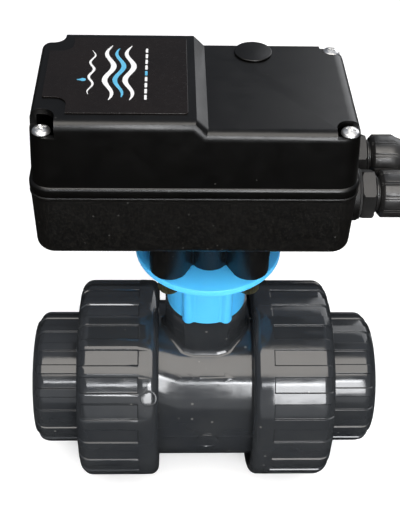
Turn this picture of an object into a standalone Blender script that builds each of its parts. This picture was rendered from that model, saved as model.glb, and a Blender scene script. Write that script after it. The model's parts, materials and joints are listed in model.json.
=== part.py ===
"""Quarter-turn electric actuator on a plastic double-union ball valve.

X runs along the pipe, Z up the valve stem, and the origin is where the two meet, in the
middle of the ball. All the sizes below are in millimetres; MM turns them into metres.
"""
import math

import bmesh
import bpy
from mathutils import Matrix, Vector

MM = 0.001
GAP = 0.3                      # space left between pieces that touch
SHARP_ANGLE = math.radians(35)
WELD = 0.0005                  # joins the loose caps of an outline, in millimetres

# Ball valve: a body, a ball between two seats, and a union on each end for a 50 mm pipe.
PIPE_RADIUS = 25.0
SOCKET_DEPTH = 31.0
FLOW_RADIUS = 19.5
HALF_LENGTH = 84.0
CONNECTOR_RADIUS = 33.0
COLLAR_RADIUS = 42.5           # flange of a connector, trapped by its nut
COLLAR_FACE = 46.3
COLLAR_BACK = 52.0
NUT_RADIUS = 49.7
NUT_INNER_END = 22.5
NUT_OUTER_END = 61.5
THREAD_RADIUS = 44.0
BARREL_RADIUS = 39.3
BODY_END = 46.0
THREAD_START = 26.0
BALL_RADIUS = 28.0
BALL_BORE = 19.0
CAVITY_RADIUS = 30.5
SEAT_POCKET = 25.8
SEAT_BACK = 22.3
SEAT_LIP = 19.0
SEAL_GROOVE = (34.2, 37.8)
SEAL_GROOVE_DEPTH = 3.4

# Stem and the tower that it rises through.
STEM_RADIUS = 8.7
STEM_BORE = 9.0
STEM_FLANGE = (11.0, 28.6, 32.0)
STEM_SQUARE = 12.0
STEM_TOP = 76.0
STEM_GROOVES = (40.4, 50.4)
STEM_GROOVE_WIDTH = 2.2
STEM_GROOVE_RADIUS = 7.0
TONGUE = (7.4, 18.0)
TOWER_TOP = 57.2
SPIGOT_RADIUS = 11.5
SPIGOT_TOP = 66.0
TOWER_QUARTER = ((19.5, 2.0), (15.8, 8.0), (10.2, 15.6), (5.9, 16.5))

# Adapter between the valve and the actuator's F05 flange pattern.
ADAPTER_LOW = 57.5
NECK_RADIUS = 18.5
PAD_HALF = (11.5, 19.1)
FLANGE_RADIUS = 33.0
FLANGE_LOW = 88.0
FLANGE_TOP = 91.2
ADAPTER_BORE = 10.7
F05_OFFSET = 17.68             # four bolts on a 50 mm circle
SCREW_OFFSET = (8.7, 11.7)
SCREW_SEAT = 62.0

# Coupling and output shaft.
COUPLING_RADIUS = 10.3
COUPLING_SQUARE = 13.8
COUPLING_TOP = 104.0
SHAFT_LOW = 93.2
JOURNAL_RADIUS = 12.0
SHOULDER = 119.3
SHAFT_RADIUS = 8.0
SHAFT_FLAT = 6.25              # half the width across the shaft's two flats
SHAFT_TOP = 165.0

# Actuator housing.
BOX_X = -7.6                   # middle of the housing along the pipe
BOSS_LOW = 91.5
BOX_LOW = 113.4
BOX_SPLIT = 143.7
FLOOR_TOP = 116.9
BASE_LOW_HALF = (64.8, 34.6)
BASE_TOP_HALF = (65.2, 35.2)
BASE_FILLET = 4.0
INSIDE_HALF = (61.9, 30.0)
PILLAR_OFFSET = (58.4, 30.1)
PILLAR_RADIUS = 5.8
PILLAR_RADIUS_COVER = 7.0
BOX_CORNER = 8.0
BOSS_LOBE = 8.5
BOSS_RIB = (11.5, 8.5)
BOSS_CORE = 18.0
COVER_LOW = 144.0
RIM_HALF = (65.5, 36.2)
RIM_TOP = 149.2
COVER_LOW_HALF = (64.6, 35.4)
COVER_TOP_HALF = (62.9, 34.5)
COVER_HIGH = 178.0
COVER_STEP = 173.6
RAMP_X = (-7.6, -3.2)
COVER_FILLET = 3.0
WALL = 2.5
POCKET_FLOOR = 171.0
POCKET_RADIUS = 5.2
GASKET_OUTER = (64.2, 34.1, 6.1)
GASKET_INNER = (63.3, 33.3, 5.3)

# Cable glands.
GLAND_X = 60.2
GLAND_Y = 13.2
GLAND_Z = 129.5
GLAND_THREAD = 7.7
GLAND_HOLE = 8.2

# Gear train.
MODULE = 1.0
PRESSURE_ANGLE = math.radians(20)
BACKLASH = 0.3
DEDENDUM = 1.12
WHEEL_ADDENDUM = 0.6
PINION_ADDENDUM = 0.9
OUTPUT_TEETH = 52
WHEEL_TEETH = 34
PINION_TEETH = 11
OVERRIDE_TEETH = 10
GEAR_LOW = 119.7
GEAR_HIGH = 127.0
WHEEL_LOW = 129.0
WHEEL_HIGH = 134.0
MOTOR_ANGLE = math.radians(153)
OVERRIDE_ANGLE = math.radians(56.4)
INTERMEDIATE_X = -(OUTPUT_TEETH + PINION_TEETH) * MODULE / 2
PLATE_X = (-64.0, 40.0)
PLATE_HALF_Y = 29.4
PLATE_CHAMFER = 9.0
LOWER_PLATE = (117.3, 119.0)
UPPER_PLATE = (136.5, 138.5)
PILLARS = ((-57.0, -24.0), (-57.0, 24.0), (34.0, -24.0), (34.0, 24.0))
ARBOR_RADIUS = 2.0
MOTOR_CENTRE = (-42.5, 2.0)
MOTOR_RADIUS = 23.0

# Switches and electronics.
CAM_RADIUS = 9.6
CAM_LOBE = 12.4
SWITCH_POSTS = ((-5.0, -22.5), (5.0, -22.5))
BOARD_POSTS = ((19.0, -18.0), (19.0, 15.0), (38.0, -18.0), (38.0, 15.0))
BOARD_LOW = 146.0
BOARD_HIGH = 147.6
SPINDLE_RADIUS = 3.0

FINISHES = {                   # base colour, roughness, metallic
    "grey pvc": ((0.042, 0.045, 0.050), 0.32, 0.0),
    "blue nylon": ((0.045, 0.470, 0.830), 0.38, 0.0),
    "black housing": ((0.012, 0.011, 0.010), 0.45, 0.0),
    "black nylon": ((0.020, 0.020, 0.022), 0.40, 0.0),
    "label": ((0.014, 0.009, 0.008), 0.35, 0.0),
    "rubber": ((0.015, 0.015, 0.015), 0.75, 0.0),
    "white ptfe": ((0.800, 0.800, 0.780), 0.45, 0.0),
    "steel": ((0.560, 0.570, 0.580), 0.28, 1.0),
    "yellow zinc": ((0.520, 0.470, 0.260), 0.35, 1.0),
    "bronze": ((0.480, 0.330, 0.150), 0.38, 1.0),
    "white acetal": ((0.720, 0.700, 0.640), 0.42, 0.0),
    "green board": ((0.020, 0.140, 0.050), 0.45, 0.0),
    "green block": ((0.030, 0.260, 0.110), 0.45, 0.0),
    "foil sleeve": ((0.030, 0.050, 0.160), 0.40, 0.0),
}

parts = None
cutters = None


# ---------------------------------------------------------------- scene and objects

def clear_scene():
    for old in list(bpy.data.objects):
        bpy.data.objects.remove(old, do_unlink=True)


def make_collections():
    global parts, cutters
    parts = bpy.data.collections.new("motorized_valve_actuator")
    cutters = bpy.data.collections.new("cutters")
    for group in (parts, cutters):
        bpy.context.scene.collection.children.link(group)


def make_material(name, finish):
    colour, roughness, metallic = FINISHES[finish]
    material = bpy.data.materials.new(name)
    material.use_nodes = True
    shader = material.node_tree.nodes["Principled BSDF"]
    shader.inputs["Base Color"].default_value = (*colour, 1)
    shader.inputs["Roughness"].default_value = roughness
    shader.inputs["Metallic"].default_value = metallic
    material.diffuse_color = (*colour, 1)
    return material


def add_part(name, mesh, finish, place=(0, 0, 0), turn=(0, 0, 0), parent=None):
    """One named piece; its origin is at place, and turn is its rotation."""
    piece = bpy.data.objects.new(name, mesh)
    if not mesh.materials:
        mesh.materials.append(None)
    piece.material_slots[0].link = "OBJECT"
    piece.material_slots[0].material = make_material(name, finish)
    piece.location = Vector(place) * MM
    piece.rotation_euler = turn
    piece.parent = parent
    parts.objects.link(piece)
    return piece


def combine(piece, mesh, operation):
    """Cut or join a mesh, drawn in the piece's own coordinates, with a Boolean modifier."""
    tool = bpy.data.objects.new(piece.name + "_" + operation.lower(), mesh)
    tool.parent = piece
    tool.hide_render = True
    tool.display_type = "WIRE"
    cutters.objects.link(tool)
    step = piece.modifiers.new(operation.title(), "BOOLEAN")
    step.operation = operation
    step.solver = "EXACT"
    step.object = tool
    return tool


def cut(piece, *meshes):
    for mesh in meshes:
        combine(piece, mesh, "DIFFERENCE")


def join(piece, *meshes):
    for mesh in meshes:
        combine(piece, mesh, "UNION")


def evaluated_mesh(item):
    graph = bpy.context.evaluated_depsgraph_get()
    return bpy.data.meshes.new_from_object(item.evaluated_get(graph))


def finished(bm):
    """Turn a bmesh drawn in millimetres into a smooth-shaded mesh in metres."""
    bmesh.ops.recalc_face_normals(bm, faces=bm.faces)
    bmesh.ops.scale(bm, verts=bm.verts, vec=(MM, MM, MM))
    mesh = bpy.data.meshes.new("shape")
    bm.to_mesh(mesh)
    bm.free()
    mesh.shade_smooth()
    mesh.set_sharp_from_angle(angle=SHARP_ANGLE)
    return mesh


def laid_along_x(mesh):
    """The mesh of an upright piece, turned to lie along X."""
    mesh.transform(Matrix.Rotation(math.pi / 2, 4, "Y"))
    return mesh


def moved(mesh, place):
    """A copy of the mesh shifted across by (x, y)."""
    copy = mesh.copy()
    copy.transform(Matrix.Translation(Vector((*place, 0)) * MM))
    return copy


def group_meshes(meshes):
    """Several separate meshes as one, for cutting or joining them in one step."""
    bm = bmesh.new()
    for mesh in meshes:
        bm.from_mesh(mesh)
    bmesh.ops.scale(bm, verts=bm.verts, vec=(1 / MM, 1 / MM, 1 / MM))
    return finished(bm)


# ---------------------------------------------------------------- basic shapes

def box(low, high):
    size = [b - a for a, b in zip(low, high)]
    middle = [(a + b) / 2 for a, b in zip(low, high)]
    bm = bmesh.new()
    place = Matrix.Translation(middle) @ Matrix.Diagonal((*size, 1))
    bmesh.ops.create_cube(bm, size=1, matrix=place)
    return finished(bm)


def rod(radius, low, high, centre=(0, 0), axis="Z", sides=24):
    """Cylinder from low to high along an axis; centre holds its other two coordinates."""
    bm = bmesh.new()
    bmesh.ops.create_cone(bm, cap_ends=True, segments=sides, radius1=radius, radius2=radius,
                          depth=high - low)
    middle = (low + high) / 2
    if axis == "Z":
        place = Matrix.Translation((*centre, middle))
    elif axis == "Y":
        place = Matrix.Translation((centre[0], middle, centre[1])) @ Matrix.Rotation(math.pi / 2, 4, "X")
    else:
        place = Matrix.Translation((middle, *centre)) @ Matrix.Rotation(math.pi / 2, 4, "Y")
    bmesh.ops.transform(bm, matrix=place, verts=bm.verts)
    return finished(bm)


def turned(profile, sides):
    """Mesh turned about Z from (radius, height) points that run down the outer side.

    A profile that leaves the axis is an open line; any other is the loop of a ring.
    """
    bm = bmesh.new()
    verts = [bm.verts.new((radius * MM, 0, height * MM)) for radius, height in profile]
    for start, end in zip(verts, verts[1:]):
        bm.edges.new((start, end))
    if profile[0][0] > 0:
        bm.edges.new((verts[-1], verts[0]))
    line = bpy.data.meshes.new("profile")
    bm.to_mesh(line)
    bm.free()
    guide = bpy.data.objects.new("profile", line)
    bpy.context.scene.collection.objects.link(guide)
    screw = guide.modifiers.new("Screw", "SCREW")
    screw.angle = math.tau
    screw.steps = sides
    screw.render_steps = sides
    screw.use_merge_vertices = True
    screw.merge_threshold = 0.000001
    mesh = evaluated_mesh(guide)
    bpy.data.objects.remove(guide)
    mesh.shade_smooth()
    mesh.set_sharp_from_angle(angle=SHARP_ANGLE)
    return mesh


def ring_section(radius, section, height, points=8):
    """Round section of an O-ring, as a profile for turned()."""
    angles = [math.pi / 2 - math.tau * step / points for step in range(points)]
    return [(radius + section * math.cos(a), height + section * math.sin(a)) for a in angles]


def prism(loops, low, high, top_round=0):
    """Flat outline (the outer loop, then its holes) raised from one height to another."""
    curve = bpy.data.curves.new("outline", "CURVE")
    curve.dimensions = "2D"
    curve.fill_mode = "BOTH"
    curve.extrude = (high - low) / 2
    for loop in loops:
        spline = curve.splines.new("POLY")
        spline.points.add(len(loop) - 1)
        spline.use_cyclic_u = True
        for point, (x, y) in zip(spline.points, loop):
            point.co = (x, y, 0, 1)
    guide = bpy.data.objects.new("outline", curve)
    bpy.context.scene.collection.objects.link(guide)
    flat = evaluated_mesh(guide)
    bpy.data.objects.remove(guide)
    bm = bmesh.new()
    bm.from_mesh(flat)
    bmesh.ops.remove_doubles(bm, verts=bm.verts, dist=WELD)
    bmesh.ops.translate(bm, verts=bm.verts, vec=(0, 0, (low + high) / 2))
    if top_round:
        bmesh.ops.dissolve_limit(bm, angle_limit=0.001, verts=bm.verts, edges=bm.edges)
        round_edges(bm, rim_edges(bm, 1), top_round, 1)
    return finished(bm)


def rim_edges(bm, side):
    """Edges between a face that looks up (side 1) or down (side -1) and an upright face."""
    bmesh.ops.recalc_face_normals(bm, faces=bm.faces)
    found = []
    for edge in bm.edges:
        tilts = sorted(side * face.normal.z for face in edge.link_faces)
        if len(tilts) == 2 and tilts[1] > 0.5 and abs(tilts[0]) < 0.4:
            found.append(edge)
    return found


def round_edges(bm, edges, width, segments):
    bmesh.ops.bevel(bm, geom=edges, offset=width, offset_type="OFFSET", segments=segments,
                    profile=0.5, affect="EDGES")


# ---------------------------------------------------------------- outlines

def arc(centre, radius, start, end, steps):
    """Points from one angle to another, both in degrees, ends included."""
    angles = [math.radians(start + (end - start) * step / steps) for step in range(steps + 1)]
    return [(centre[0] + radius * math.cos(a), centre[1] + radius * math.sin(a)) for a in angles]


def circle(centre, radius, sides):
    return arc(centre, radius, 0, 360, sides)[:-1]


def mirrored_quarters(quarter):
    """Closed loop from the points of its first quarter, listed from the X side to the Y side."""
    left = [(-x, y) for x, y in reversed(quarter)]
    upper = list(quarter) + left
    lower = [(-x, -y) for x, y in upper]
    return upper + lower


def rounded_rectangle(half_x, half_y, radius, steps=3):
    return mirrored_quarters(arc((half_x - radius, half_y - radius), radius, 0, 90, steps))


def shifted(loop, dx, dy=0):
    return [(x + dx, y + dy) for x, y in loop]


def four(offset):
    """The four places at plus and minus an offset, from the front left round to the back left."""
    x, y = offset
    return [(-x, -y), (x, -y), (x, y), (-x, y)]


def flatted_circle(radius, flat, sides=12):
    """Circle with two flats at y = -flat and y = flat."""
    limit = math.degrees(math.asin(flat / radius))
    return mirrored_quarters(arc((0, 0), radius, 0, limit, sides // 4))


def inside_outline(pillar):
    """Inside of the housing, with a round bite round each corner pillar."""
    (half_x, half_y), (px, py) = INSIDE_HALF, PILLAR_OFFSET
    start = -math.degrees(math.acos((half_x - px) / pillar))
    end = -180 - math.degrees(math.asin((half_y - py) / pillar))
    return shifted(mirrored_quarters(arc((px, py), pillar, start, end, 4)), BOX_X)


def boss_outline(steps=48):
    """Star of four bolt lobes and four ribs round a core, as its farthest edge at each angle."""
    rounds = []
    for quarter in range(4):
        rounds.append((math.hypot(F05_OFFSET, F05_OFFSET), BOSS_LOBE, 45 + 90 * quarter))
        rounds.append((BOSS_RIB[0], BOSS_RIB[1], 90 * quarter))
    points = []
    for step in range(steps):
        angle = math.tau * step / steps
        reach = BOSS_CORE
        for distance, radius, heading in rounds:
            swing = angle - math.radians(heading)
            inside = radius ** 2 - (distance * math.sin(swing)) ** 2
            if inside > 0:
                reach = max(reach, distance * math.cos(swing) + math.sqrt(inside))
        points.append((reach * math.cos(angle), reach * math.sin(angle)))
    return points


def gear_outline(teeth, first_tooth, addendum, flank_points):
    """Involute teeth with root, flank and tip points; first_tooth is a tooth's middle angle."""
    pitch_radius = teeth * MODULE / 2
    base = pitch_radius * math.cos(PRESSURE_ANGLE)
    root = pitch_radius - DEDENDUM * MODULE
    tip = pitch_radius + addendum
    half_tooth = (math.pi * MODULE / 2 - BACKLASH) / (2 * pitch_radius)
    involute_at_pitch = math.tan(PRESSURE_ANGLE) - PRESSURE_ANGLE
    start = max(base, root)
    flank = []
    for step in range(flank_points):
        radius = start + (tip - start) * step / (flank_points - 1)
        roll = math.acos(min(1, base / radius))
        flank.append((radius, half_tooth + involute_at_pitch - math.tan(roll) + roll))
    if start - root > 0.2 * MODULE:
        flank.insert(0, (root, flank[0][1]))
    points = []
    for tooth in range(teeth):
        middle = first_tooth + math.tau * tooth / teeth
        edges = [(r, middle - a) for r, a in flank] + [(r, middle + a) for r, a in reversed(flank)]
        points += [(r * math.cos(a), r * math.sin(a)) for r, a in edges]
    return points


def meshing_tooth(first_tooth, teeth, other_teeth, direction):
    """Tooth angle of a second gear whose gap meets the first gear's tooth in a direction."""
    roll = (first_tooth - direction) * teeth / other_teeth
    return direction + math.pi - roll + math.pi / other_teeth


# ---------------------------------------------------------------- ball valve

ALONG_X = (0, math.pi / 2, 0)       # turns an upright piece to point along +X
AGAINST_X = (0, -math.pi / 2, 0)
SIDES = (("left", AGAINST_X), ("right", ALONG_X))


def make_valve_body():
    low, high = SEAL_GROOVE
    groove = BODY_END - SEAL_GROOVE_DEPTH
    profile = [(THREAD_RADIUS, BODY_END), (THREAD_RADIUS, THREAD_START),
               (BARREL_RADIUS, THREAD_START), (BARREL_RADIUS, -THREAD_START),
               (THREAD_RADIUS, -THREAD_START), (THREAD_RADIUS, -BODY_END),
               (high, -BODY_END), (high, -groove), (low, -groove), (low, -BODY_END),
               (FLOW_RADIUS, -BODY_END), (FLOW_RADIUS, -SEAT_BACK),
               (SEAT_POCKET, -SEAT_BACK), (SEAT_POCKET, -SEAT_LIP),
               (CAVITY_RADIUS, -SEAT_LIP), (CAVITY_RADIUS, BODY_END),
               (low, BODY_END), (low, groove), (high, groove), (high, BODY_END)]
    body = add_part("valve_body", laid_along_x(turned(profile, 28)), "grey pvc")
    tower = prism([mirrored_quarters(TOWER_QUARTER)], 34, TOWER_TOP)
    join(body, tower, rod(SPIGOT_RADIUS, 50, SPIGOT_TOP))
    flange_radius, _, flange_top = STEM_FLANGE
    bore = turned([(0, SPIGOT_TOP + 1), (STEM_BORE, SPIGOT_TOP + 1),
                   (STEM_BORE, flange_top + GAP), (flange_radius + 0.4, flange_top + GAP),
                   (flange_radius + 0.4, 24), (0, 24)], 20)
    holes = [rod(1.8, 46, TOWER_TOP + 1, place, sides=8) for place in four(SCREW_OFFSET)]
    cut(body, bore, group_meshes(holes))


def make_ball(parent):
    bm = bmesh.new()
    bmesh.ops.create_uvsphere(bm, u_segments=24, v_segments=14, radius=BALL_RADIUS)
    ball = add_part("valve_ball", finished(bm), "white ptfe", parent=parent)
    slot = TONGUE[0] / 2 + GAP
    cut(ball, rod(BALL_BORE, -40, 40, axis="X", sides=24), box((-slot, -30, 23.5), (slot, 30, 30)))


def make_stem(parent):
    flange_radius, flange_low, flange_top = STEM_FLANGE
    profile = [(0, SPIGOT_TOP), (STEM_RADIUS, SPIGOT_TOP)]
    for groove in sorted(STEM_GROOVES, reverse=True):
        top = groove + STEM_GROOVE_WIDTH
        profile += [(STEM_RADIUS, top), (STEM_GROOVE_RADIUS, top),
                    (STEM_GROOVE_RADIUS, groove), (STEM_RADIUS, groove)]
    profile += [(STEM_RADIUS, flange_top), (flange_radius, flange_top),
                (flange_radius, flange_low), (0, flange_low)]
    stem = add_part("valve_stem", turned(profile, 16), "steel", parent=parent)
    half = STEM_SQUARE / 2
    tongue_x, tongue_y = TONGUE[0] / 2, TONGUE[1] / 2
    join(stem, box((-half, -half, 64), (half, half, STEM_TOP)),
         box((-tongue_x, -tongue_y, 23.8), (tongue_x, tongue_y, flange_low + 1)))
    section = 0.72
    radius = (STEM_GROOVE_RADIUS + STEM_BORE) / 2
    for name, groove in zip(("stem_seal_lower", "stem_seal_upper"), STEM_GROOVES):
        seal = turned(ring_section(radius, section, 0, 5), 16)
        add_part(name, seal, "rubber", (0, 0, groove + STEM_GROOVE_WIDTH / 2))


def make_seats_and_carrier():
    face = BALL_RADIUS + GAP + 0.1
    radii = (24.2, 22.0, FLOW_RADIUS + 0.1)
    profile = [(SEAT_POCKET - 0.4, SEAT_BACK - GAP), (SEAT_POCKET - 0.4, 15.5)]
    profile += [(r, math.sqrt(face ** 2 - r ** 2)) for r in radii]
    profile += [(FLOW_RADIUS + 0.1, SEAT_BACK - GAP)]
    for side, turn in SIDES:
        add_part("ball_seat_" + side, turned(profile, 24), "white ptfe", turn=turn)
    outer = CAVITY_RADIUS - GAP
    profile = [(outer, 44), (outer, SEAT_LIP), (SEAT_POCKET, SEAT_LIP), (SEAT_POCKET, SEAT_BACK),
               (FLOW_RADIUS, SEAT_BACK), (FLOW_RADIUS, 44)]
    carrier = add_part("seat_carrier", turned(profile, 28), "grey pvc", turn=ALONG_X)
    cut(carrier, box((-3, -35, 41), (3, 35, 50)))


def make_unions():
    section = (SEAL_GROOVE[1] - SEAL_GROOVE[0]) / 2 - GAP
    seal = turned(ring_section(sum(SEAL_GROOVE) / 2, section, BODY_END - section - 0.1, 5), 24)
    socket_floor = HALF_LENGTH - SOCKET_DEPTH
    connector = turned([(29.0, HALF_LENGTH), (31.4, HALF_LENGTH - 1.4), (32.7, HALF_LENGTH - 4),
                        (CONNECTOR_RADIUS, HALF_LENGTH - 7), (CONNECTOR_RADIUS, COLLAR_BACK),
                        (COLLAR_RADIUS, COLLAR_BACK), (COLLAR_RADIUS, COLLAR_FACE),
                        (FLOW_RADIUS, COLLAR_FACE), (FLOW_RADIUS, socket_floor),
                        (PIPE_RADIUS, socket_floor), (PIPE_RADIUS, HALF_LENGTH)], 28)
    shoulder = COLLAR_BACK + GAP
    nut = turned([(44.5, NUT_OUTER_END), (47.8, 60.2), (49.3, 57.8), (NUT_RADIUS, 55.0),
                  (NUT_RADIUS, 27.0), (48.6, 24.0), (46.2, NUT_INNER_END),
                  (THREAD_RADIUS + GAP, NUT_INNER_END), (THREAD_RADIUS + GAP, shoulder),
                  (CONNECTOR_RADIUS + GAP, shoulder), (CONNECTOR_RADIUS + GAP, NUT_OUTER_END)], 32)
    for side, turn in SIDES:
        add_part("union_seal_" + side, seal, "rubber", turn=turn)
        add_part("end_connector_" + side, connector, "grey pvc", turn=turn)
        add_part("union_nut_" + side, nut, "grey pvc", turn=turn)


# ---------------------------------------------------------------- adapter and coupling

def make_adapter():
    flange = rod(FLANGE_RADIUS, FLANGE_LOW, FLANGE_TOP, sides=32)
    adapter = add_part("mounting_adapter", flange, "blue nylon")
    x, y = PAD_HALF
    join(adapter, rod(NECK_RADIUS, ADAPTER_LOW, FLANGE_LOW + 1, sides=24),
         prism([rounded_rectangle(x, y, 2, 2)], ADAPTER_LOW, FLANGE_LOW + 1))
    spigot = SPIGOT_RADIUS + GAP
    bore = turned([(0, FLANGE_TOP + 1), (ADAPTER_BORE, FLANGE_TOP + 1),
                   (ADAPTER_BORE, SPIGOT_TOP + GAP), (spigot, SPIGOT_TOP + GAP),
                   (spigot, ADAPTER_LOW - 1), (0, ADAPTER_LOW - 1)], 20)
    well = turned([(0, FLANGE_TOP + 1), (3.05, FLANGE_TOP + 1), (3.05, SCREW_SEAT),
                   (1.8, SCREW_SEAT), (1.8, ADAPTER_LOW - 1), (0, ADAPTER_LOW - 1)], 8)
    wells = [moved(well, place) for place in four(SCREW_OFFSET)]
    bolt_holes = [rod(3.3, FLANGE_LOW - 1, FLANGE_TOP + 1, place, sides=12)
                  for place in four((F05_OFFSET, F05_OFFSET))]
    cut(adapter, bore, group_meshes(wells), group_meshes(bolt_holes))


def frozen(profile, sides, recess):
    """Mesh of a turned fastener with a driver recess cut in it."""
    blank = bpy.data.objects.new("fastener", turned(profile, sides))
    cutters.objects.link(blank)
    tool = combine(blank, recess, "DIFFERENCE")
    mesh = evaluated_mesh(blank)
    mesh.set_sharp_from_angle(angle=SHARP_ANGLE)
    bpy.data.objects.remove(tool)
    bpy.data.objects.remove(blank)
    return mesh


def make_fasteners():
    corners = ("front_left", "front_right", "back_right", "back_left")
    adapter_screw = frozen([(0, 3), (2.4, 3), (2.7, 2.6), (2.7, 0), (1.5, 0), (1.5, -15), (0, -15)],
                           10, rod(1.3, 1.4, 4, sides=6))
    bolt = frozen([(0, 12), (2.9, 12), (2.9, -3.5), (5.6, -3.5), (5.6, -4.8), (5, -4.8),
                   (5, -11.6), (4.6, -12), (0, -12)], 12, rod(2.9, -13, -8.8, sides=6))
    cross = mirrored_quarters(((2.2, 0.4), (0.5, 0.5), (0.4, 2.2)))
    cover_screw = frozen([(0, 1.9), (2.6, 1.6), (3.6, 0.6), (3.6, 0), (1.9, 0), (1.9, -44), (0, -44)],
                         12, prism([cross], 0.7, 2.4))
    kinds = (("adapter_screw_", adapter_screw, "steel", 0, SCREW_OFFSET, SCREW_SEAT + GAP),
             ("flange_bolt_", bolt, "yellow zinc", 0, (F05_OFFSET, F05_OFFSET), FLANGE_TOP),
             ("cover_screw_", cover_screw, "steel", BOX_X, PILLAR_OFFSET, POCKET_FLOOR + GAP))
    for prefix, mesh, finish, middle, offset, height in kinds:
        for corner, (x, y) in zip(corners, four(offset)):
            add_part(prefix + corner, mesh, finish, (middle + x, y, height))


def make_coupling(parent):
    low = SPIGOT_TOP + 0.6
    coupling = add_part("drive_coupling", rod(COUPLING_RADIUS, low, FLANGE_TOP - 0.7),
                        "steel", parent=parent)
    tang = COUPLING_SQUARE / 2
    socket = STEM_SQUARE / 2 + 0.25
    join(coupling, box((-tang, -tang, FLANGE_TOP - 2), (tang, tang, COUPLING_TOP)))
    cut(coupling, box((-socket, -socket, low - 1), (socket, socket, STEM_TOP + 0.8)))


def make_output_shaft(parent):
    upper = prism([flatted_circle(SHAFT_RADIUS, SHAFT_FLAT)], SHOULDER - 1, SHAFT_TOP, 0.8)
    shaft = add_part("output_shaft", rod(JOURNAL_RADIUS, SHAFT_LOW, SHOULDER, sides=24),
                     "steel", parent=parent)
    join(shaft, upper)
    socket = COUPLING_SQUARE / 2 + 0.25
    cut(shaft, box((-socket, -socket, SHAFT_LOW - 1), (socket, socket, COUPLING_TOP + 2)))
    inner = JOURNAL_RADIUS + GAP
    bush = [(14.0, 116.9), (14.0, 97.8), (inner, 97.8), (inner, 116.9)]
    seal = [(16.0, 97.2), (16.0, 92.3), (inner, 92.3), (inner, 97.2)]
    add_part("output_bush", turned(bush, 24), "bronze")
    add_part("output_seal", turned(seal, 24), "rubber")


# ---------------------------------------------------------------- housing

def make_base():
    bm = bmesh.new()
    bmesh.ops.create_cube(bm, size=2)
    for vert in bm.verts:
        half_x, half_y = BASE_TOP_HALF if vert.co.z > 0 else BASE_LOW_HALF
        height = BOX_SPLIT if vert.co.z > 0 else BOX_LOW
        vert.co = (BOX_X + vert.co.x * half_x, vert.co.y * half_y, height)
    round_edges(bm, upright_edges(bm), BOX_CORNER, 3)
    round_edges(bm, rim_edges(bm, -1), BASE_FILLET, 2)
    base = add_part("base_housing", finished(bm), "black housing")
    gland_bosses = [rod(12.2, 55.2, GLAND_X, (y, GLAND_Z), "X", 16) for y in (-GLAND_Y, GLAND_Y)]
    join(base, prism([boss_outline()], BOSS_LOW, BOX_LOW + 1.5))
    join(base, *gland_bosses)
    hollow = prism([inside_outline(PILLAR_RADIUS)], FLOOR_TOP, BOX_SPLIT + 5)
    spindle_room = rod(6.0, SHOULDER, BOX_SPLIT + 6, spindle_place(), sides=16)
    shaft_bore = turned([(0, FLOOR_TOP + 1), (14.3, FLOOR_TOP + 1), (14.3, 97.5), (16.3, 97.5),
                         (16.3, BOSS_LOW - 1), (0, BOSS_LOW - 1)], 20)
    bolt_holes = [rod(3.2, BOSS_LOW - 1, 106, place, sides=10)
                  for place in four((F05_OFFSET, F05_OFFSET))]
    screw_holes = [rod(2.2, 124, BOX_SPLIT + 1, (BOX_X + x, y), sides=8)
                   for x, y in four(PILLAR_OFFSET)]
    gland_holes = [rod(GLAND_HOLE, 50, GLAND_X + 2, (y, GLAND_Z), "X", 16) for y in (-GLAND_Y, GLAND_Y)]
    groove = gasket_prism(GAP, BOX_SPLIT - 1.5, BOX_SPLIT + 1)
    cut(base, hollow, spindle_room, shaft_bore, group_meshes(bolt_holes),
        group_meshes(screw_holes), group_meshes(gland_holes), groove)


def upright_edges(bm):
    return [edge for edge in bm.edges if abs(edge.verts[0].co.z - edge.verts[1].co.z) > 5
            and abs(edge.verts[0].co.x - edge.verts[1].co.x) < 5
            and edge.calc_face_angle(0) > 1]


def gasket_prism(spare, low, high):
    outer_x, outer_y, outer_round = GASKET_OUTER
    inner_x, inner_y, inner_round = GASKET_INNER
    outer = rounded_rectangle(outer_x + spare, outer_y + spare, outer_round + spare)
    inner = rounded_rectangle(inner_x - spare, inner_y - spare, inner_round - spare)
    return prism([shifted(outer, BOX_X), shifted(inner, BOX_X)], low, high)


def cover_block(inset, low, corner, fillet):
    """Tapered block with the ramp in its top; an inset gives the hollow inside the walls."""
    heights = (COVER_HIGH - inset, COVER_STEP - inset)
    slant = inset * math.tan(math.pi / 8)
    ramp = [(x - slant - BOX_X) / (COVER_TOP_HALF[0] - inset) for x in RAMP_X]
    bm = bmesh.new()
    bmesh.ops.create_cube(bm, size=2)
    for place in ramp:
        geom = bm.verts[:] + bm.edges[:] + bm.faces[:]
        bmesh.ops.bisect_plane(bm, geom=geom, plane_co=(place, 0, 0), plane_no=(1, 0, 0))
    for vert in bm.verts:
        top = vert.co.z > 0
        half_x, half_y = COVER_TOP_HALF if top else COVER_LOW_HALF
        height = (heights[0] if vert.co.x < sum(ramp) / 2 else heights[1]) if top else low
        vert.co = (BOX_X + vert.co.x * (half_x - inset), vert.co.y * (half_y - inset), height)
    round_edges(bm, upright_edges(bm), corner, 3)
    if fillet:
        round_edges(bm, rim_edges(bm, 1), fillet, 2)
    return finished(bm)


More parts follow.
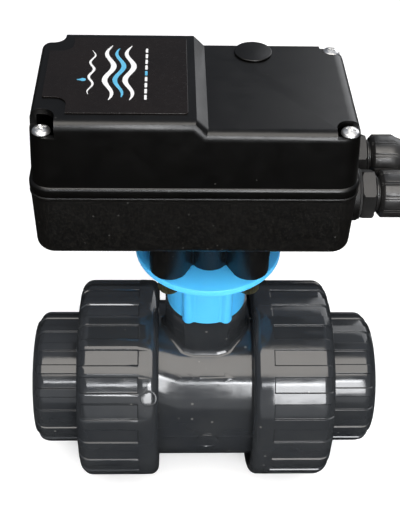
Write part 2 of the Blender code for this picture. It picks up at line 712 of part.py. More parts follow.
def corner_pocket(sign_x, sign_y):
    """Screw pocket open to the outside of the corner, with a round inner edge."""
    reach = 20
    axis = (BOX_X + sign_x * PILLAR_OFFSET[0], sign_y * PILLAR_OFFSET[1])
    inner = [axis[0] - sign_x * POCKET_RADIUS, axis[1] - sign_y * POCKET_RADIUS]
    outer = [axis[0] + sign_x * reach, axis[1] + sign_y * reach]
    low = (min(inner[0], outer[0]), min(inner[1], outer[1]), POCKET_FLOOR)
    high = (max(inner[0], outer[0]), max(inner[1], outer[1]), COVER_HIGH + 5)
    bm = bmesh.new()
    bm.from_mesh(box(low, high))
    bmesh.ops.scale(bm, verts=bm.verts, vec=(1 / MM, 1 / MM, 1 / MM))
    edges = [edge for edge in upright_edges(bm)
             if all(math.dist(vert.co.xy, inner) < 0.01 for vert in edge.verts)]
    round_edges(bm, edges, POCKET_RADIUS, 4)
    return finished(bm)


def make_cover():
    cover = add_part("cover", cover_block(0, COVER_LOW + 1, BOX_CORNER, COVER_FILLET), "black housing")
    rim = shifted(rounded_rectangle(*RIM_HALF, BOX_CORNER + 1), BOX_X)
    join(cover, prism([rim], COVER_LOW, RIM_TOP, 1.4))
    hollow = bpy.data.objects.new("cover_hollow", cover_block(WALL, COVER_LOW - 2, 5.5, 0))
    hollow.hide_render = True
    hollow.display_type = "WIRE"
    cutters.objects.link(hollow)
    pillars = [rod(PILLAR_RADIUS_COVER, COVER_LOW - 4, COVER_HIGH, (BOX_X + x, y), sides=16)
               for x, y in four(PILLAR_OFFSET)]
    cut(hollow, group_meshes(pillars))
    step = cover.modifiers.new("Hollow", "BOOLEAN")
    step.operation = "DIFFERENCE"
    step.solver = "EXACT"
    step.object = hollow
    pockets = [corner_pocket(sign_x, sign_y) for sign_x, sign_y in four((1, 1))]
    screw_holes = [rod(2.2, COVER_LOW - 1, POCKET_FLOOR + 1, (BOX_X + x, y), sides=8)
                   for x, y in four(PILLAR_OFFSET)]
    plug_hole = rod(4.8, COVER_STEP - 5, COVER_STEP + 2, spindle_place(), sides=16)
    cut(cover, group_meshes(pockets), group_meshes(screw_holes), plug_hole)


def make_housing_trim():
    add_part("cover_gasket", gasket_prism(0, BOX_SPLIT - 1.2, BOX_SPLIT), "rubber")
    left, right, half, notch_x, notch_y = -66.5, -10.8, 28.5, -57.0, 17.5
    bite = 5.0
    upper = [(right, -half + 1), (right, half - 1), (right - 1, half), (notch_x, half)]
    upper += arc((notch_x - bite, notch_y + bite), bite, 0, -90, 4)
    upper += [(left, notch_y)]
    lower = [(x, -y) for x, y in reversed(upper[2:])]
    label_low = COVER_HIGH + GAP / 2
    add_part("label_plate", prism([upper + lower], label_low, label_low + 0.4), "label")
    low = COVER_STEP + GAP
    plug = turned([(0, 1.0), (7.2, 1.0), (8.0, 0.5), (8.0, 0), (4.5, 0), (4.5, -4), (3.3, -4),
                   (3.3, -1), (0, -1)], 20)
    add_part("override_plug", plug, "black housing", (*spindle_place(), low))


def make_glands():
    washer = turned([(10.8, 1.7), (10.8, GAP), (GLAND_HOLE + 0.1, GAP), (GLAND_HOLE + 0.1, 1.7)], 16)
    seal = turned([(5.9, 19.5), (5.9, 6), (3.3, 6), (3.3, 19.5)], 12)
    dome = [(5.6, 27.3), (7.4, 25.6), (9.2, 22.6), (10.0, 19.5), (10.0, 9.8), (8.0, 9.8), (8.0, 18.5),
            (4.9, 27.3)]
    dome_nut = turned(dome, 16)
    thread = [(GLAND_THREAD, 17.5), (GLAND_THREAD, -12.0), (4.8, -12.0), (4.8, 4), (6.2, 4), (6.2, 17.5)]
    hexagon = [circle((0, 0), 11.0, 6), circle((0, 0), 7.0, 16)]
    lock = [circle((0, 0), 12.2, 6), circle((0, 0), GLAND_THREAD + GAP, 16)]
    for side, y in (("front", -GLAND_Y), ("back", GLAND_Y)):
        place = (GLAND_X, y, GLAND_Z)
        name = "gland_" + side + "_"
        body = add_part(name + "body", turned(thread, 16), "black nylon", place, ALONG_X)
        join(body, prism(hexagon, 2.0, 7.3))
        add_part(name + "washer", washer, "rubber", place, ALONG_X)
        add_part(name + "locknut", prism(lock, -10.7, -6.2), "black nylon", place, ALONG_X)
        add_part(name + "seal", seal, "rubber", place, ALONG_X)
        add_part(name + "dome_nut", dome_nut, "black nylon", place, ALONG_X)


# ---------------------------------------------------------------- gear train

def spindle_place():
    distance = (OUTPUT_TEETH + OVERRIDE_TEETH) * MODULE / 2
    return (distance * math.cos(OVERRIDE_ANGLE), distance * math.sin(OVERRIDE_ANGLE))


def motor_place():
    distance = (WHEEL_TEETH + PINION_TEETH) * MODULE / 2
    return (INTERMEDIATE_X + distance * math.cos(MOTOR_ANGLE), distance * math.sin(MOTOR_ANGLE))


def plate_outline():
    (left, right), half, chamfer = PLATE_X, PLATE_HALF_Y, PLATE_CHAMFER
    return [(right, -half), (right, half), (left + chamfer, half), (left, half - chamfer),
            (left, -half + chamfer), (left + chamfer, -half)]


def make_plates():
    pivot = ARBOR_RADIUS + GAP
    lower_holes = [circle((0, 0), JOURNAL_RADIUS + 0.4, 24), circle((INTERMEDIATE_X, 0), pivot, 8),
                   circle(spindle_place(), pivot, 8)]
    lower = add_part("lower_gear_plate", prism([plate_outline()] + lower_holes, *LOWER_PLATE), "steel")
    pillar = turned([(0, 139.3), (2, 139.3), (2, 136.2), (3, 136.2), (3, 118), (0, 118)], 8)
    join(lower, group_meshes([moved(pillar, place) for place in PILLARS]))
    upper_holes = [circle((0, 0), SHAFT_RADIUS + 0.4, 16), circle((INTERMEDIATE_X, 0), pivot, 8),
                   circle(motor_place(), 3.5, 8), circle(spindle_place(), SPINDLE_RADIUS + GAP, 10)]
    upper_holes += [circle(place, pivot, 8) for place in PILLARS]
    upper = add_part("upper_gear_plate", prism([plate_outline()] + upper_holes, *UPPER_PLATE), "steel")
    switch_post = turned([(0, 159), (1.1, 159), (1.1, 144.9), (2.4, 144.9), (2.4, 137.5), (0, 137.5)], 8)
    board_post = turned([(0, 149), (1.3, 149), (1.3, 145.7), (2.2, 145.7), (2.2, 137.5), (0, 137.5)], 8)
    posts = [moved(switch_post, place) for place in SWITCH_POSTS]
    posts += [moved(board_post, place) for place in BOARD_POSTS]
    join(upper, group_meshes(posts))


def make_gears(drive):
    output_tooth = math.pi
    bore = flatted_circle(SHAFT_RADIUS + GAP, SHAFT_FLAT + GAP)
    teeth = gear_outline(OUTPUT_TEETH, output_tooth, WHEEL_ADDENDUM, 2)
    add_part("output_gear", prism([teeth, bore], GEAR_LOW, GEAR_HIGH), "steel", parent=drive)

    pinion_tooth = meshing_tooth(output_tooth, OUTPUT_TEETH, PINION_TEETH, math.pi)
    pinion = gear_outline(PINION_TEETH, pinion_tooth, PINION_ADDENDUM, 3)
    wheel = gear_outline(WHEEL_TEETH, 0, WHEEL_ADDENDUM, 2)
    arbor = rod(ARBOR_RADIUS, LOWER_PLATE[0] + 0.4, UPPER_PLATE[1] - 0.4, sides=8)
    gear = add_part("intermediate_gear", prism([wheel], WHEEL_LOW, WHEEL_HIGH), "steel",
                    (INTERMEDIATE_X, 0, 0))
    join(gear, prism([pinion], GEAR_LOW, WHEEL_LOW + 0.6), arbor)

    motor_tooth = meshing_tooth(0, WHEEL_TEETH, PINION_TEETH, MOTOR_ANGLE)
    teeth = gear_outline(PINION_TEETH, motor_tooth, PINION_ADDENDUM, 3)
    x, y = motor_place()
    motor_pinion = add_part("motor_pinion", prism([teeth], WHEEL_LOW - 0.4, WHEEL_HIGH + 0.4),
                            "steel", (x, y, 0))
    join(motor_pinion, rod(ARBOR_RADIUS, WHEEL_HIGH - 1, 150, sides=8))

    spindle_tooth = meshing_tooth(output_tooth, OUTPUT_TEETH, OVERRIDE_TEETH, OVERRIDE_ANGLE)
    teeth = gear_outline(OVERRIDE_TEETH, spindle_tooth, WHEEL_ADDENDUM, 3)
    x, y = spindle_place()
    spindle = add_part("override_spindle", prism([teeth], GEAR_LOW, GEAR_HIGH), "steel", (x, y, 0))
    join(spindle, rod(ARBOR_RADIUS, LOWER_PLATE[0] + 0.4, GEAR_LOW + 2, sides=8),
         rod(SPINDLE_RADIUS, GEAR_HIGH - 1, 160, sides=10), rod(2.5, 159, 168, sides=6))


def make_motor():
    profile = [(0, 168), (6, 168), (6, 166), (22, 166), (MOTOR_RADIUS, 165), (MOTOR_RADIUS, 140.4),
               (22, 139.6), (0, 139.6)]
    motor = add_part("motor", turned(profile, 24), "steel", (*MOTOR_CENTRE, 0))
    x, y = (a - b for a, b in zip(motor_place(), MOTOR_CENTRE))
    cut(motor, rod(ARBOR_RADIUS + 0.4, 139, 152, (x, y), sides=8))


# ---------------------------------------------------------------- switches and electronics

def cam_outline(heading):
    """Round cam with one lobe that points along a heading in degrees."""
    lobe = arc((0, 0), CAM_LOBE, heading - 14, heading + 14, 4)
    rest = arc((0, 0), CAM_RADIUS, heading + 30, heading + 330, 14)
    return lobe + rest


def make_cams_and_switches(drive):
    bore = flatted_circle(SHAFT_RADIUS + GAP, SHAFT_FLAT + GAP)
    holes = [rod(1.4, -4, 4, (x, y + 20.5), sides=8) for x, y in SWITCH_POSTS]
    kinds = (("open", -90, 148.2), ("closed", 0, 154.5))
    for state, heading, height in kinds:
        cam = prism([cam_outline(heading), bore], height - 2, height + 2)
        add_part("cam_" + state, cam, "white acetal", parent=drive)
        switch = add_part("limit_switch_" + state, box((-10, -5, -3), (10, 5, 3)), "black nylon",
                          (0, -20.5, height))
        join(switch, box((-9, 4, -1.8), (-6.5, 7.4, 1.8)), box((-9, 7.0, -1.8), (8, 7.4, 1.8)))
        cut(switch, group_meshes(holes))


def make_electronics():
    board = [(15, -21), (49, -21), (49, 20), (15, 20)]
    holes = [circle(place, 1.6, 8) for place in BOARD_POSTS]
    add_part("circuit_board", prism([board] + holes, BOARD_LOW, BOARD_HIGH), "green board")
    low = BOARD_HIGH + GAP
    block = add_part("terminal_block", box((40.5, -16, low), (48.5, 14, 157)), "green block")
    wells = []
    for pole in range(6):
        y = -13.5 + 5 * pole
        wells.append(rod(1.7, 153, 158, (43, y), sides=6))
        wells.append(box((45.5, y - 1.6, low + 1), (49, y + 1.6, low + 4.2)))
    cut(block, group_meshes(wells))
    can = turned([(0, 13), (5.6, 13), (6.5, 12), (6.5, -12), (5.6, -13), (0, -13)], 14)
    along_y = (math.pi / 2, 0, 0)
    add_part("motor_capacitor", can, "foil sleeve", (28.5, -1, low + 6.8), along_y)


def main():
    clear_scene()
    make_collections()
    drive = bpy.data.objects.new("drive_axis", None)
    parts.objects.link(drive)
    make_valve_body()
    make_ball(drive)
    make_stem(drive)
    make_seats_and_carrier()
    make_unions()
    make_adapter()
    make_coupling(drive)
    make_output_shaft(drive)
    make_base()
    make_cover()
    make_housing_trim()
    make_fasteners()
    make_glands()
    make_plates()
    make_gears(drive)
    make_motor()
    make_cams_and_switches(drive)
    make_electronics()


main()
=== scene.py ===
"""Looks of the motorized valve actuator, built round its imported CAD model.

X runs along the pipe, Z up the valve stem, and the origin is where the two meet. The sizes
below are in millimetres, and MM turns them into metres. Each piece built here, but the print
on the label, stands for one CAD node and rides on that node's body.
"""

import json
import math

import bmesh
import bpy
from mathutils import Matrix, Vector


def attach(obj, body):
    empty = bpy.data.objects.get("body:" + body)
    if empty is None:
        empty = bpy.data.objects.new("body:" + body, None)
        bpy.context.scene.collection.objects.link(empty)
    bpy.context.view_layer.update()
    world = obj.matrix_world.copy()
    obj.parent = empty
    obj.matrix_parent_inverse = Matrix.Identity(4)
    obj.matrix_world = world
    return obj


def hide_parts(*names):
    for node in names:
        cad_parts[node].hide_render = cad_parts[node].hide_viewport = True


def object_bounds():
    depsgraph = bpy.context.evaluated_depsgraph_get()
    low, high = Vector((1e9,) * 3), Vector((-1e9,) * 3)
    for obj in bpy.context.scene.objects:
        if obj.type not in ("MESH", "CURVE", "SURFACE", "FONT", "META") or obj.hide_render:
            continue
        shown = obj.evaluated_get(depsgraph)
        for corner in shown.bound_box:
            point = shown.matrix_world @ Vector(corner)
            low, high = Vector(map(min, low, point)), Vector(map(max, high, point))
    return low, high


MM = 0.001
SMOOTH_ANGLE = math.radians(32)

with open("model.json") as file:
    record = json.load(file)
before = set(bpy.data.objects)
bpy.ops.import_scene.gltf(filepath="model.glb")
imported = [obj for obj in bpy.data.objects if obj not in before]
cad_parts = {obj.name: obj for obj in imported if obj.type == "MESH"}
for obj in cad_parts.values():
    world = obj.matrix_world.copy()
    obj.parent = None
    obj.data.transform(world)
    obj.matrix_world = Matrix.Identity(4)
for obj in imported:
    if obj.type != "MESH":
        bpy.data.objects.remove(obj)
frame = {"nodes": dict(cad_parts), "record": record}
cad_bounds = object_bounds()
node_body = {node: body for body, nodes in frame["record"]["behaviour"]["bodies"].items()
             for node in nodes}
node_slot = {row["node"]: row["material_slot"] for row in frame["record"]["subparts"]}


# ---------------------------------------------------------------- materials

def new_material(name, roughness, metallic=0.0, coat=0.0):
    """A material, its node tree and its shader, ready for procedural inputs."""
    material = bpy.data.materials.new(name)
    material.use_nodes = True
    tree = material.node_tree
    shader = tree.nodes["Principled BSDF"]
    shader.inputs["Roughness"].default_value = roughness
    shader.inputs["Metallic"].default_value = metallic
    shader.inputs["Coat Weight"].default_value = coat
    return material, tree, shader


def coordinates(tree, stretch=(1, 1, 1)):
    """Object coordinates in metres, which may be stretched for a drawn or brushed grain."""
    source = tree.nodes.new("ShaderNodeTexCoord")
    mapping = tree.nodes.new("ShaderNodeMapping")
    mapping.inputs["Scale"].default_value = stretch
    tree.links.new(source.outputs["Object"], mapping.inputs["Vector"])
    return mapping.outputs["Vector"]


def noise(tree, vector, feature, detail=2.0, roughness=0.5):
    """Noise whose features measure about so many millimetres."""
    node = tree.nodes.new("ShaderNodeTexNoise")
    node.inputs["Scale"].default_value = 1 / (feature * MM)
    node.inputs["Detail"].default_value = detail
    node.inputs["Roughness"].default_value = roughness
    tree.links.new(vector, node.inputs["Vector"])
    return node.outputs["Fac"]


def ramp(tree, value, stops):
    """Colour ramp from (position, colour) stops."""
    node = tree.nodes.new("ShaderNodeValToRGB")
    elements = node.color_ramp.elements
    while len(elements) < len(stops):
        elements.new(0.5)
    for element, (position, colour) in zip(elements, stops):
        element.position = position
        element.color = (*colour, 1)
    tree.links.new(value, node.inputs["Fac"])
    return node.outputs["Color"]


def grey(value):
    return (value, value, value)


def varied(tree, shader, socket, vector, feature, low, high, ends=(0.3, 0.7)):
    """Lets noise carry a shader socket from one colour to another."""
    shade = ramp(tree, noise(tree, vector, feature, 3), [(ends[0], low), (ends[1], high)])
    tree.links.new(shade, shader.inputs[socket])


def mixed(tree, factor, first, second):
    """Colour mix of two sockets or colours by a factor socket."""
    node = tree.nodes.new("ShaderNodeMix")
    node.data_type = "RGBA"
    tree.links.new(factor, node.inputs["Factor"])
    for label, colour in (("A", first), ("B", second)):
        socket = next(s for s in node.inputs if s.name == label and s.type == "RGBA")
        if isinstance(colour, tuple):
            socket.default_value = (*colour, 1)
        else:
            tree.links.new(colour, socket)
    return next(s for s in node.outputs if s.type == "RGBA")


def add_bump(tree, shader, heights):
    """Bump from (height socket, depth in millimetres) pairs, one after the other."""
    normal = None
    for height, depth in heights:
        bump = tree.nodes.new("ShaderNodeBump")
        bump.inputs["Strength"].default_value = 1.0
        bump.inputs["Distance"].default_value = depth * MM
        tree.links.new(height, bump.inputs["Height"])
        if normal is not None:
            tree.links.new(normal, bump.inputs["Normal"])
        normal = bump.outputs["Normal"]
    tree.links.new(normal, shader.inputs["Normal"])


def specks(tree, vector, feature, share):
    """Sparse spots: a mask that is 1 on small round specks and 0 elsewhere."""
    node = tree.nodes.new("ShaderNodeTexVoronoi")
    node.inputs["Scale"].default_value = 1 / (feature * MM)
    tree.links.new(vector, node.inputs["Vector"])
    spot = ramp(tree, node.outputs["Distance"], [(0.0, grey(1)), (0.16, grey(1)), (0.22, grey(0))])
    pick = tree.nodes.new("ShaderNodeSeparateColor")
    tree.links.new(node.outputs["Color"], pick.inputs["Color"])
    chosen = ramp(tree, pick.outputs["Red"], [(1 - share, grey(0)), (min(1, 1.001 - share), grey(1))])
    both = tree.nodes.new("ShaderNodeMath")
    both.operation = "MULTIPLY"
    tree.links.new(spot, both.inputs[0])
    tree.links.new(chosen, both.inputs[1])
    return both.outputs["Value"]


def grey_pvc(name="grey_pvc"):
    """Moulded PVC: dark blue-grey, glossy, with faint flow marks and handling smears."""
    material, tree, shader = new_material(name, 0.15)
    place = coordinates(tree)
    clouds = noise(tree, place, 22, 3)
    flow = noise(tree, coordinates(tree, (0.25, 1, 1)), 2.5, 3)
    base = ramp(tree, clouds, [(0.3, (0.018, 0.020, 0.023)), (0.7, (0.026, 0.028, 0.030))])
    dust = mixed(tree, specks(tree, place, 3.2, 0.03), base, (0.10, 0.10, 0.095))
    tree.links.new(dust, shader.inputs["Base Color"])
    shader.inputs["IOR"].default_value = 1.6
    smear = ramp(tree, flow, [(0.35, grey(0.09)), (0.75, grey(0.19))])
    tree.links.new(smear, shader.inputs["Roughness"])
    add_bump(tree, shader, [(noise(tree, place, 9, 2), 0.05), (noise(tree, place, 0.7, 2), 0.006)])
    return material


def blue_nylon():
    """Bright blue moulded nylon, slightly translucent, with a soft change of shade."""
    material, tree, shader = new_material("blue_nylon", 0.36)
    place = coordinates(tree)
    varied(tree, shader, "Base Color", place, 14, (0.068, 0.47, 0.93), (0.082, 0.52, 0.96))
    varied(tree, shader, "Roughness", place, 4, grey(0.32), grey(0.46), (0.3, 0.8))
    shader.inputs["Subsurface Weight"].default_value = 0.15
    shader.inputs["Subsurface Radius"].default_value = (0.3, 0.8, 1.2)
    shader.inputs["Subsurface Scale"].default_value = 0.002
    add_bump(tree, shader, [(noise(tree, place, 0.6, 2), 0.01)])
    return material


def black_housing(name="black_housing", dusty=0.0):
    """Black moulded plastic with a fine eroded texture; dusty adds a brown bloom and specks."""
    material, tree, shader = new_material(name, 0.42)
    place = coordinates(tree)
    black = ramp(tree, noise(tree, place, 18, 3), [(0.3, (0.0007, 0.0006, 0.0005)),
                                                   (0.7, (0.0016, 0.0014, 0.0012))])
    patches = ramp(tree, noise(tree, place, 1.1, 4, 0.7), [(0.45, grey(0)), (0.8, grey(dusty))])
    bloom = mixed(tree, patches, black, (0.017, 0.015, 0.0115))
    spots = mixed(tree, specks(tree, place, 2.0, 0.06 * dusty + 0.01), bloom, (0.03, 0.03, 0.028))
    tree.links.new(spots, shader.inputs["Base Color"])
    duller = 0.24 * dusty
    varied(tree, shader, "Roughness", place, 7, grey(0.29 + duller), grey(0.36 + duller))
    add_bump(tree, shader, [(noise(tree, place, 0.45, 2), 0.018)])
    return material


def black_nylon():
    """Gland nylon: black-grey, satin, slightly mottled."""
    material, tree, shader = new_material("black_nylon", 0.34)
    place = coordinates(tree)
    varied(tree, shader, "Base Color", place, 5, (0.006, 0.0058, 0.0056), (0.013, 0.0125, 0.012))
    varied(tree, shader, "Roughness", place, 2, grey(0.34), grey(0.48))
    shader.inputs["Specular IOR Level"].default_value = 0.9
    add_bump(tree, shader, [(noise(tree, place, 0.5, 2), 0.012)])
    return material


def plain_plastic(name, low, high, roughness, feature=6):
    """Moulded plastic or rubber with a soft change of shade and a fine grain."""
    material, tree, shader = new_material(name, roughness)
    place = coordinates(tree)
    varied(tree, shader, "Base Color", place, feature, low, high)
    varied(tree, shader, "Roughness", place, 2, grey(roughness - 0.06), grey(roughness + 0.06))
    add_bump(tree, shader, [(noise(tree, place, 0.4, 2), 0.01)])
    return material


def metal(name, low, high, roughness, stretch=(1, 1, 1), feature=1.5, depth=0.01):
    """Plated or machined metal; stretch draws its grain out along an axis."""
    material, tree, shader = new_material(name, roughness, 1.0)
    grain = noise(tree, coordinates(tree, stretch), feature, 4)
    tree.links.new(ramp(tree, grain, [(0.25, low), (0.75, high)]), shader.inputs["Base Color"])
    tree.links.new(ramp(tree, grain, [(0.2, grey(roughness * 0.7)), (0.8, grey(roughness * 1.4))]),
                   shader.inputs["Roughness"])
    add_bump(tree, shader, [(grain, depth)])
    return material


def make_materials():
    """One material for each of the record's slots."""
    return {
        "grey_pvc": grey_pvc(),
        "blue_nylon": blue_nylon(),
        "black_housing": black_housing(),
        "black_nylon": black_nylon(),
        "label": plain_plastic("label", (0.0062, 0.0042, 0.0036), (0.0085, 0.0058, 0.0050), 0.24, 20),
        "rubber": plain_plastic("rubber", (0.010, 0.010, 0.010), (0.020, 0.020, 0.020), 0.7),
        "white_ptfe": plain_plastic("white_ptfe", (0.76, 0.76, 0.74), (0.84, 0.84, 0.82), 0.4, 12),
        "steel": metal("steel", (0.50, 0.51, 0.52), (0.64, 0.65, 0.66), 0.28, (1, 1, 0.1)),
        "yellow_zinc": metal("yellow_zinc", (0.42, 0.39, 0.22), (0.62, 0.57, 0.34), 0.36),
        "bronze": metal("bronze", (0.40, 0.27, 0.12), (0.56, 0.39, 0.19), 0.4),
        "white_acetal": plain_plastic("white_acetal", (0.68, 0.66, 0.60), (0.76, 0.74, 0.68), 0.42),
        "green_board": plain_plastic("green_board", (0.015, 0.12, 0.04), (0.025, 0.16, 0.06), 0.4, 3),
        "green_block": plain_plastic("green_block", (0.025, 0.23, 0.10), (0.035, 0.28, 0.13), 0.45),
        "foil_sleeve": plain_plastic("foil_sleeve", (0.025, 0.042, 0.14), (0.035, 0.055, 0.18), 0.35),
    }


materials = make_materials()
materials["dusty_housing"] = black_housing("dusty_housing", 0.55)
materials["bright_screw"] = metal("bright_screw", grey(0.86), (0.93, 0.93, 0.92), 0.34, depth=0.002)
materials["white_ink"] = plain_plastic("white_ink", (0.78, 0.79, 0.80), (0.84, 0.85, 0.86), 0.4)
materials["blue_ink"] = plain_plastic("blue_ink", (0.10, 0.42, 0.66), (0.13, 0.48, 0.72), 0.4)


# ---------------------------------------------------------------- building pieces

def placed(name, data):
    """A new object in the scene."""
    item = bpy.data.objects.new(name, data)
    bpy.context.scene.collection.objects.link(item)
    return item


def stand_for(name, mesh, nodes, material=None):
    """A piece that replaces CAD nodes and rides on the body of the first of them."""
    piece = placed(name, mesh)
    mesh.materials.clear()
    mesh.materials.append(materials[material or node_slot[nodes[0]]])
    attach(piece, node_body[nodes[0]])
    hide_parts(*nodes)
    return piece


def detail(name, mesh, body, slot, material):
    """A small piece that no CAD node holds, such as print on the label."""
    piece = placed(name, mesh)
    mesh.materials.clear()
    mesh.materials.append(materials[material])
    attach(piece, body)
    return piece


def finished(bm, bevel=0.0, segments=2, angle=30):
    """Mesh in metres from a bmesh in millimetres, its sharp edges eased and its faces smooth."""
    bmesh.ops.recalc_face_normals(bm, faces=bm.faces)
    bmesh.ops.scale(bm, verts=bm.verts, vec=(MM, MM, MM))
    mesh = bpy.data.meshes.new("shape")
    bm.to_mesh(mesh)
    bm.free()
    mesh.shade_smooth()
    if bevel:
        mesh = eased(mesh, bevel, segments, angle)
    else:
        mesh.set_sharp_from_angle(angle=SMOOTH_ANGLE)
    return mesh


def eased(mesh, width, segments=2, angle=30):
    """The mesh with a small bevel on every edge sharper than an angle in degrees."""
    item = placed("bevelled", mesh)
    bevel = item.modifiers.new("Bevel", "BEVEL")
    bevel.width = width * MM
    bevel.segments = segments
    bevel.limit_method = "ANGLE"
    bevel.angle_limit = math.radians(angle)
    bevel.use_clamp_overlap = True
    bevel.harden_normals = True
    result = evaluated(item)
    bpy.data.objects.remove(item)
    return result


def evaluated(item):
    graph = bpy.context.evaluated_depsgraph_get()
    return bpy.data.meshes.new_from_object(item.evaluated_get(graph))


def combined(mesh, tools, operation="DIFFERENCE"):
    """The mesh cut by, or joined to, other meshes."""
    item = placed("blank", mesh)
    helpers = []
    for tool in tools:
        helper = placed("tool", tool)
        step = item.modifiers.new("Boolean", "BOOLEAN")
        step.operation = operation
        step.solver = "EXACT"
        step.object = helper
        helpers.append(helper)
    result = evaluated(item)
    for helper in [item] + helpers:
        bpy.data.objects.remove(helper)
    result.shade_smooth()
    result.set_sharp_from_angle(angle=SMOOTH_ANGLE)
    return result


def together(meshes):
    """Several closed meshes as one."""
    bm = bmesh.new()
    for mesh in meshes:
        bm.from_mesh(mesh)
    mesh = bpy.data.meshes.new("group")
    bm.to_mesh(mesh)
    bm.free()
    return mesh


def turned_about(mesh, angle, axis, place=(0, 0, 0)):
    """The mesh rotated about an axis through the origin and then moved, in millimetres."""
    mesh.transform(Matrix.Translation(Vector(place) * MM) @ Matrix.Rotation(angle, 4, axis))
    return mesh


def rounded_path(corners, steps=5):
    """Closed outline from (a, b, radius) corners, each rounded by its own radius."""
    path = []
    for index, (a, b, radius) in enumerate(corners):
        here = Vector((a, b))
        if not radius:
            path.append((a, b))
            continue
        before = (Vector(corners[index - 1][:2]) - here).normalized()
        after = (Vector(corners[(index + 1) % len(corners)][:2]) - here).normalized()
        half = before.angle(after) / 2
        middle = here + (before + after).normalized() * radius / math.sin(half)
        first = here + before * radius / math.tan(half) - middle
        last = here + after * radius / math.tan(half) - middle
        swing = first.angle(last)
        for step in range(steps + 1):
            share = step / steps
            point = first * math.sin((1 - share) * swing) + last * math.sin(share * swing)
            path.append(tuple(middle + point / math.sin(swing)))
    return path


def ring(rows, columns):
    """Closed ring about X from profile rows and angular columns.

    A row is a pair of (x, radius) points, on a rib and on a panel. A column is an angle in
    degrees, from the front over the top, and the share of the panel there.
    """
    bm = bmesh.new()
    lines = []
    for angle, share in columns:
        turn = math.radians(angle)
        line = []
        for (rib_x, rib_r), (panel_x, panel_r) in rows:
            x = rib_x + share * (panel_x - rib_x)
            radius = rib_r + share * (panel_r - rib_r)
            line.append(bm.verts.new((x, -radius * math.cos(turn), radius * math.sin(turn))))
        lines.append(line)
    for line, following in zip(lines, lines[1:] + lines[:1]):
        for index in range(len(rows)):
            after = (index + 1) % len(rows)
            bm.faces.new((line[index], line[after], following[after], following[index]))
    return bm


def turned(profile, sides, bevel=0.0):
    """Ring about X from a closed (x, radius) profile."""
    columns = [(360 * step / sides, 0) for step in range(sides)]
    return finished(ring([(point, point) for point in profile], columns), bevel)


def upright(mesh, place=(0, 0, 0)):
    """A shape turned about X, stood up so that its X points along Z."""
    return turned_about(mesh, -math.pi / 2, "Y", place)


def loft(sections, joined=False):
    """Closed skin through loops of equal length, capped at both ends or joined last to first."""
    bm = bmesh.new()
    loops = [[bm.verts.new(point) for point in section] for section in sections]
    for lower, upper in zip(loops, loops[1:] + (loops[:1] if joined else [])):
        for index in range(len(lower)):
            after = (index + 1) % len(lower)
            bm.faces.new((lower[index], lower[after], upper[after], upper[index]))
    if not joined:
        bm.faces.new(loops[0][::-1])
        bm.faces.new(loops[-1])
    return bm


def prism(outline, low, high, bevel=0.0, segments=2):
    """Outline in X and Y raised from one height to another."""
    bm = loft([[(x, y, z) for x, y in outline] for z in (low, high)])
    return finished(bm, bevel, segments)


def arc(centre, radius, start, end, steps):
    """Points from one angle to another, both in degrees, ends included."""
    angles = [math.radians(start + (end - start) * step / steps) for step in range(steps + 1)]
    return [(centre[0] + radius * math.cos(a), centre[1] + radius * math.sin(a)) for a in angles]


def rounded_rectangle(half_x, half_y, radius, steps=6):
    corners = ((half_x, half_y), (-half_x, half_y), (-half_x, -half_y), (half_x, -half_y))
    return rounded_path([(x, y, radius) for x, y in corners], steps)


def shifted(loop, dx, dy=0):
    return [(x + dx, y + dy) for x, y in loop]


def rod(radius, low, high, place=(0, 0), sides=32):
    """Upright cylinder."""
    return prism(shifted(arc((0, 0), radius, 0, 360, sides)[:-1], *place), low, high)


# ---------------------------------------------------------------- union nuts and connectors

NUT_RADIUS = 49.7
NUT_BORE = 44.3
NUT_PANELS = 24
NUT_PANEL_WIDTH = 9.0           # degrees
NUT_PANEL_DEPTH = 0.75
NUT_PANEL_START = 32.0
CONNECTOR_RADIUS = 33.0
CONNECTOR_PANELS = 18
CONNECTOR_PANEL_WIDTH = 13.0
CONNECTOR_PANEL_DEPTH = 0.7
PANEL_EDGE = 0.35               # width of a panel's sloping edge


def panel_columns(count, width, radius, first):
    """Angular columns of a ring with recessed panels; first is the middle of a panel."""
    edge = math.degrees(PANEL_EDGE / radius)
    pitch = 360 / count
    offsets = [(-width / 2, 0), (-width / 2 + edge, 1)]
    offsets += [((step - 1.5) * width / 4, 1) for step in range(4)]
    offsets += [(width / 2 - edge, 1), (width / 2, 0)]
    offsets += [(width / 2 + (pitch - width) * share, 0) for share in (0.34, 0.67)]
    return [(first + panel * pitch + offset, share) for panel in range(count)
            for offset, share in offsets]


def sunk(path, depth, full_until):
    """Points of a path moved inwards along its normals, fading out past a given X."""
    rows = []
    for index, point in enumerate(path):
        here = Vector(point)
        before = Vector(path[max(0, index - 1)])
        after = Vector(path[min(len(path) - 1, index + 1)])
        along = (after - before).normalized()
        inward = Vector((along.y, -along.x))
        if inward.y > 0:
            inward = -inward
        fade = 1.0
        if here.x > full_until:
            fade = max(0.0, 1 - (here.x - full_until) / (path[-1][0] - full_until))
        rows.append((point, tuple(here + inward * depth * fade)))
    return rows


def mirrored(mesh, side):
    """The mesh as drawn for the right side, or its mirror image for the left."""
    if side == "left":
        mesh.transform(Matrix.Scale(-1, 4, (1, 0, 0)))
        mesh.flip_normals()
    return mesh


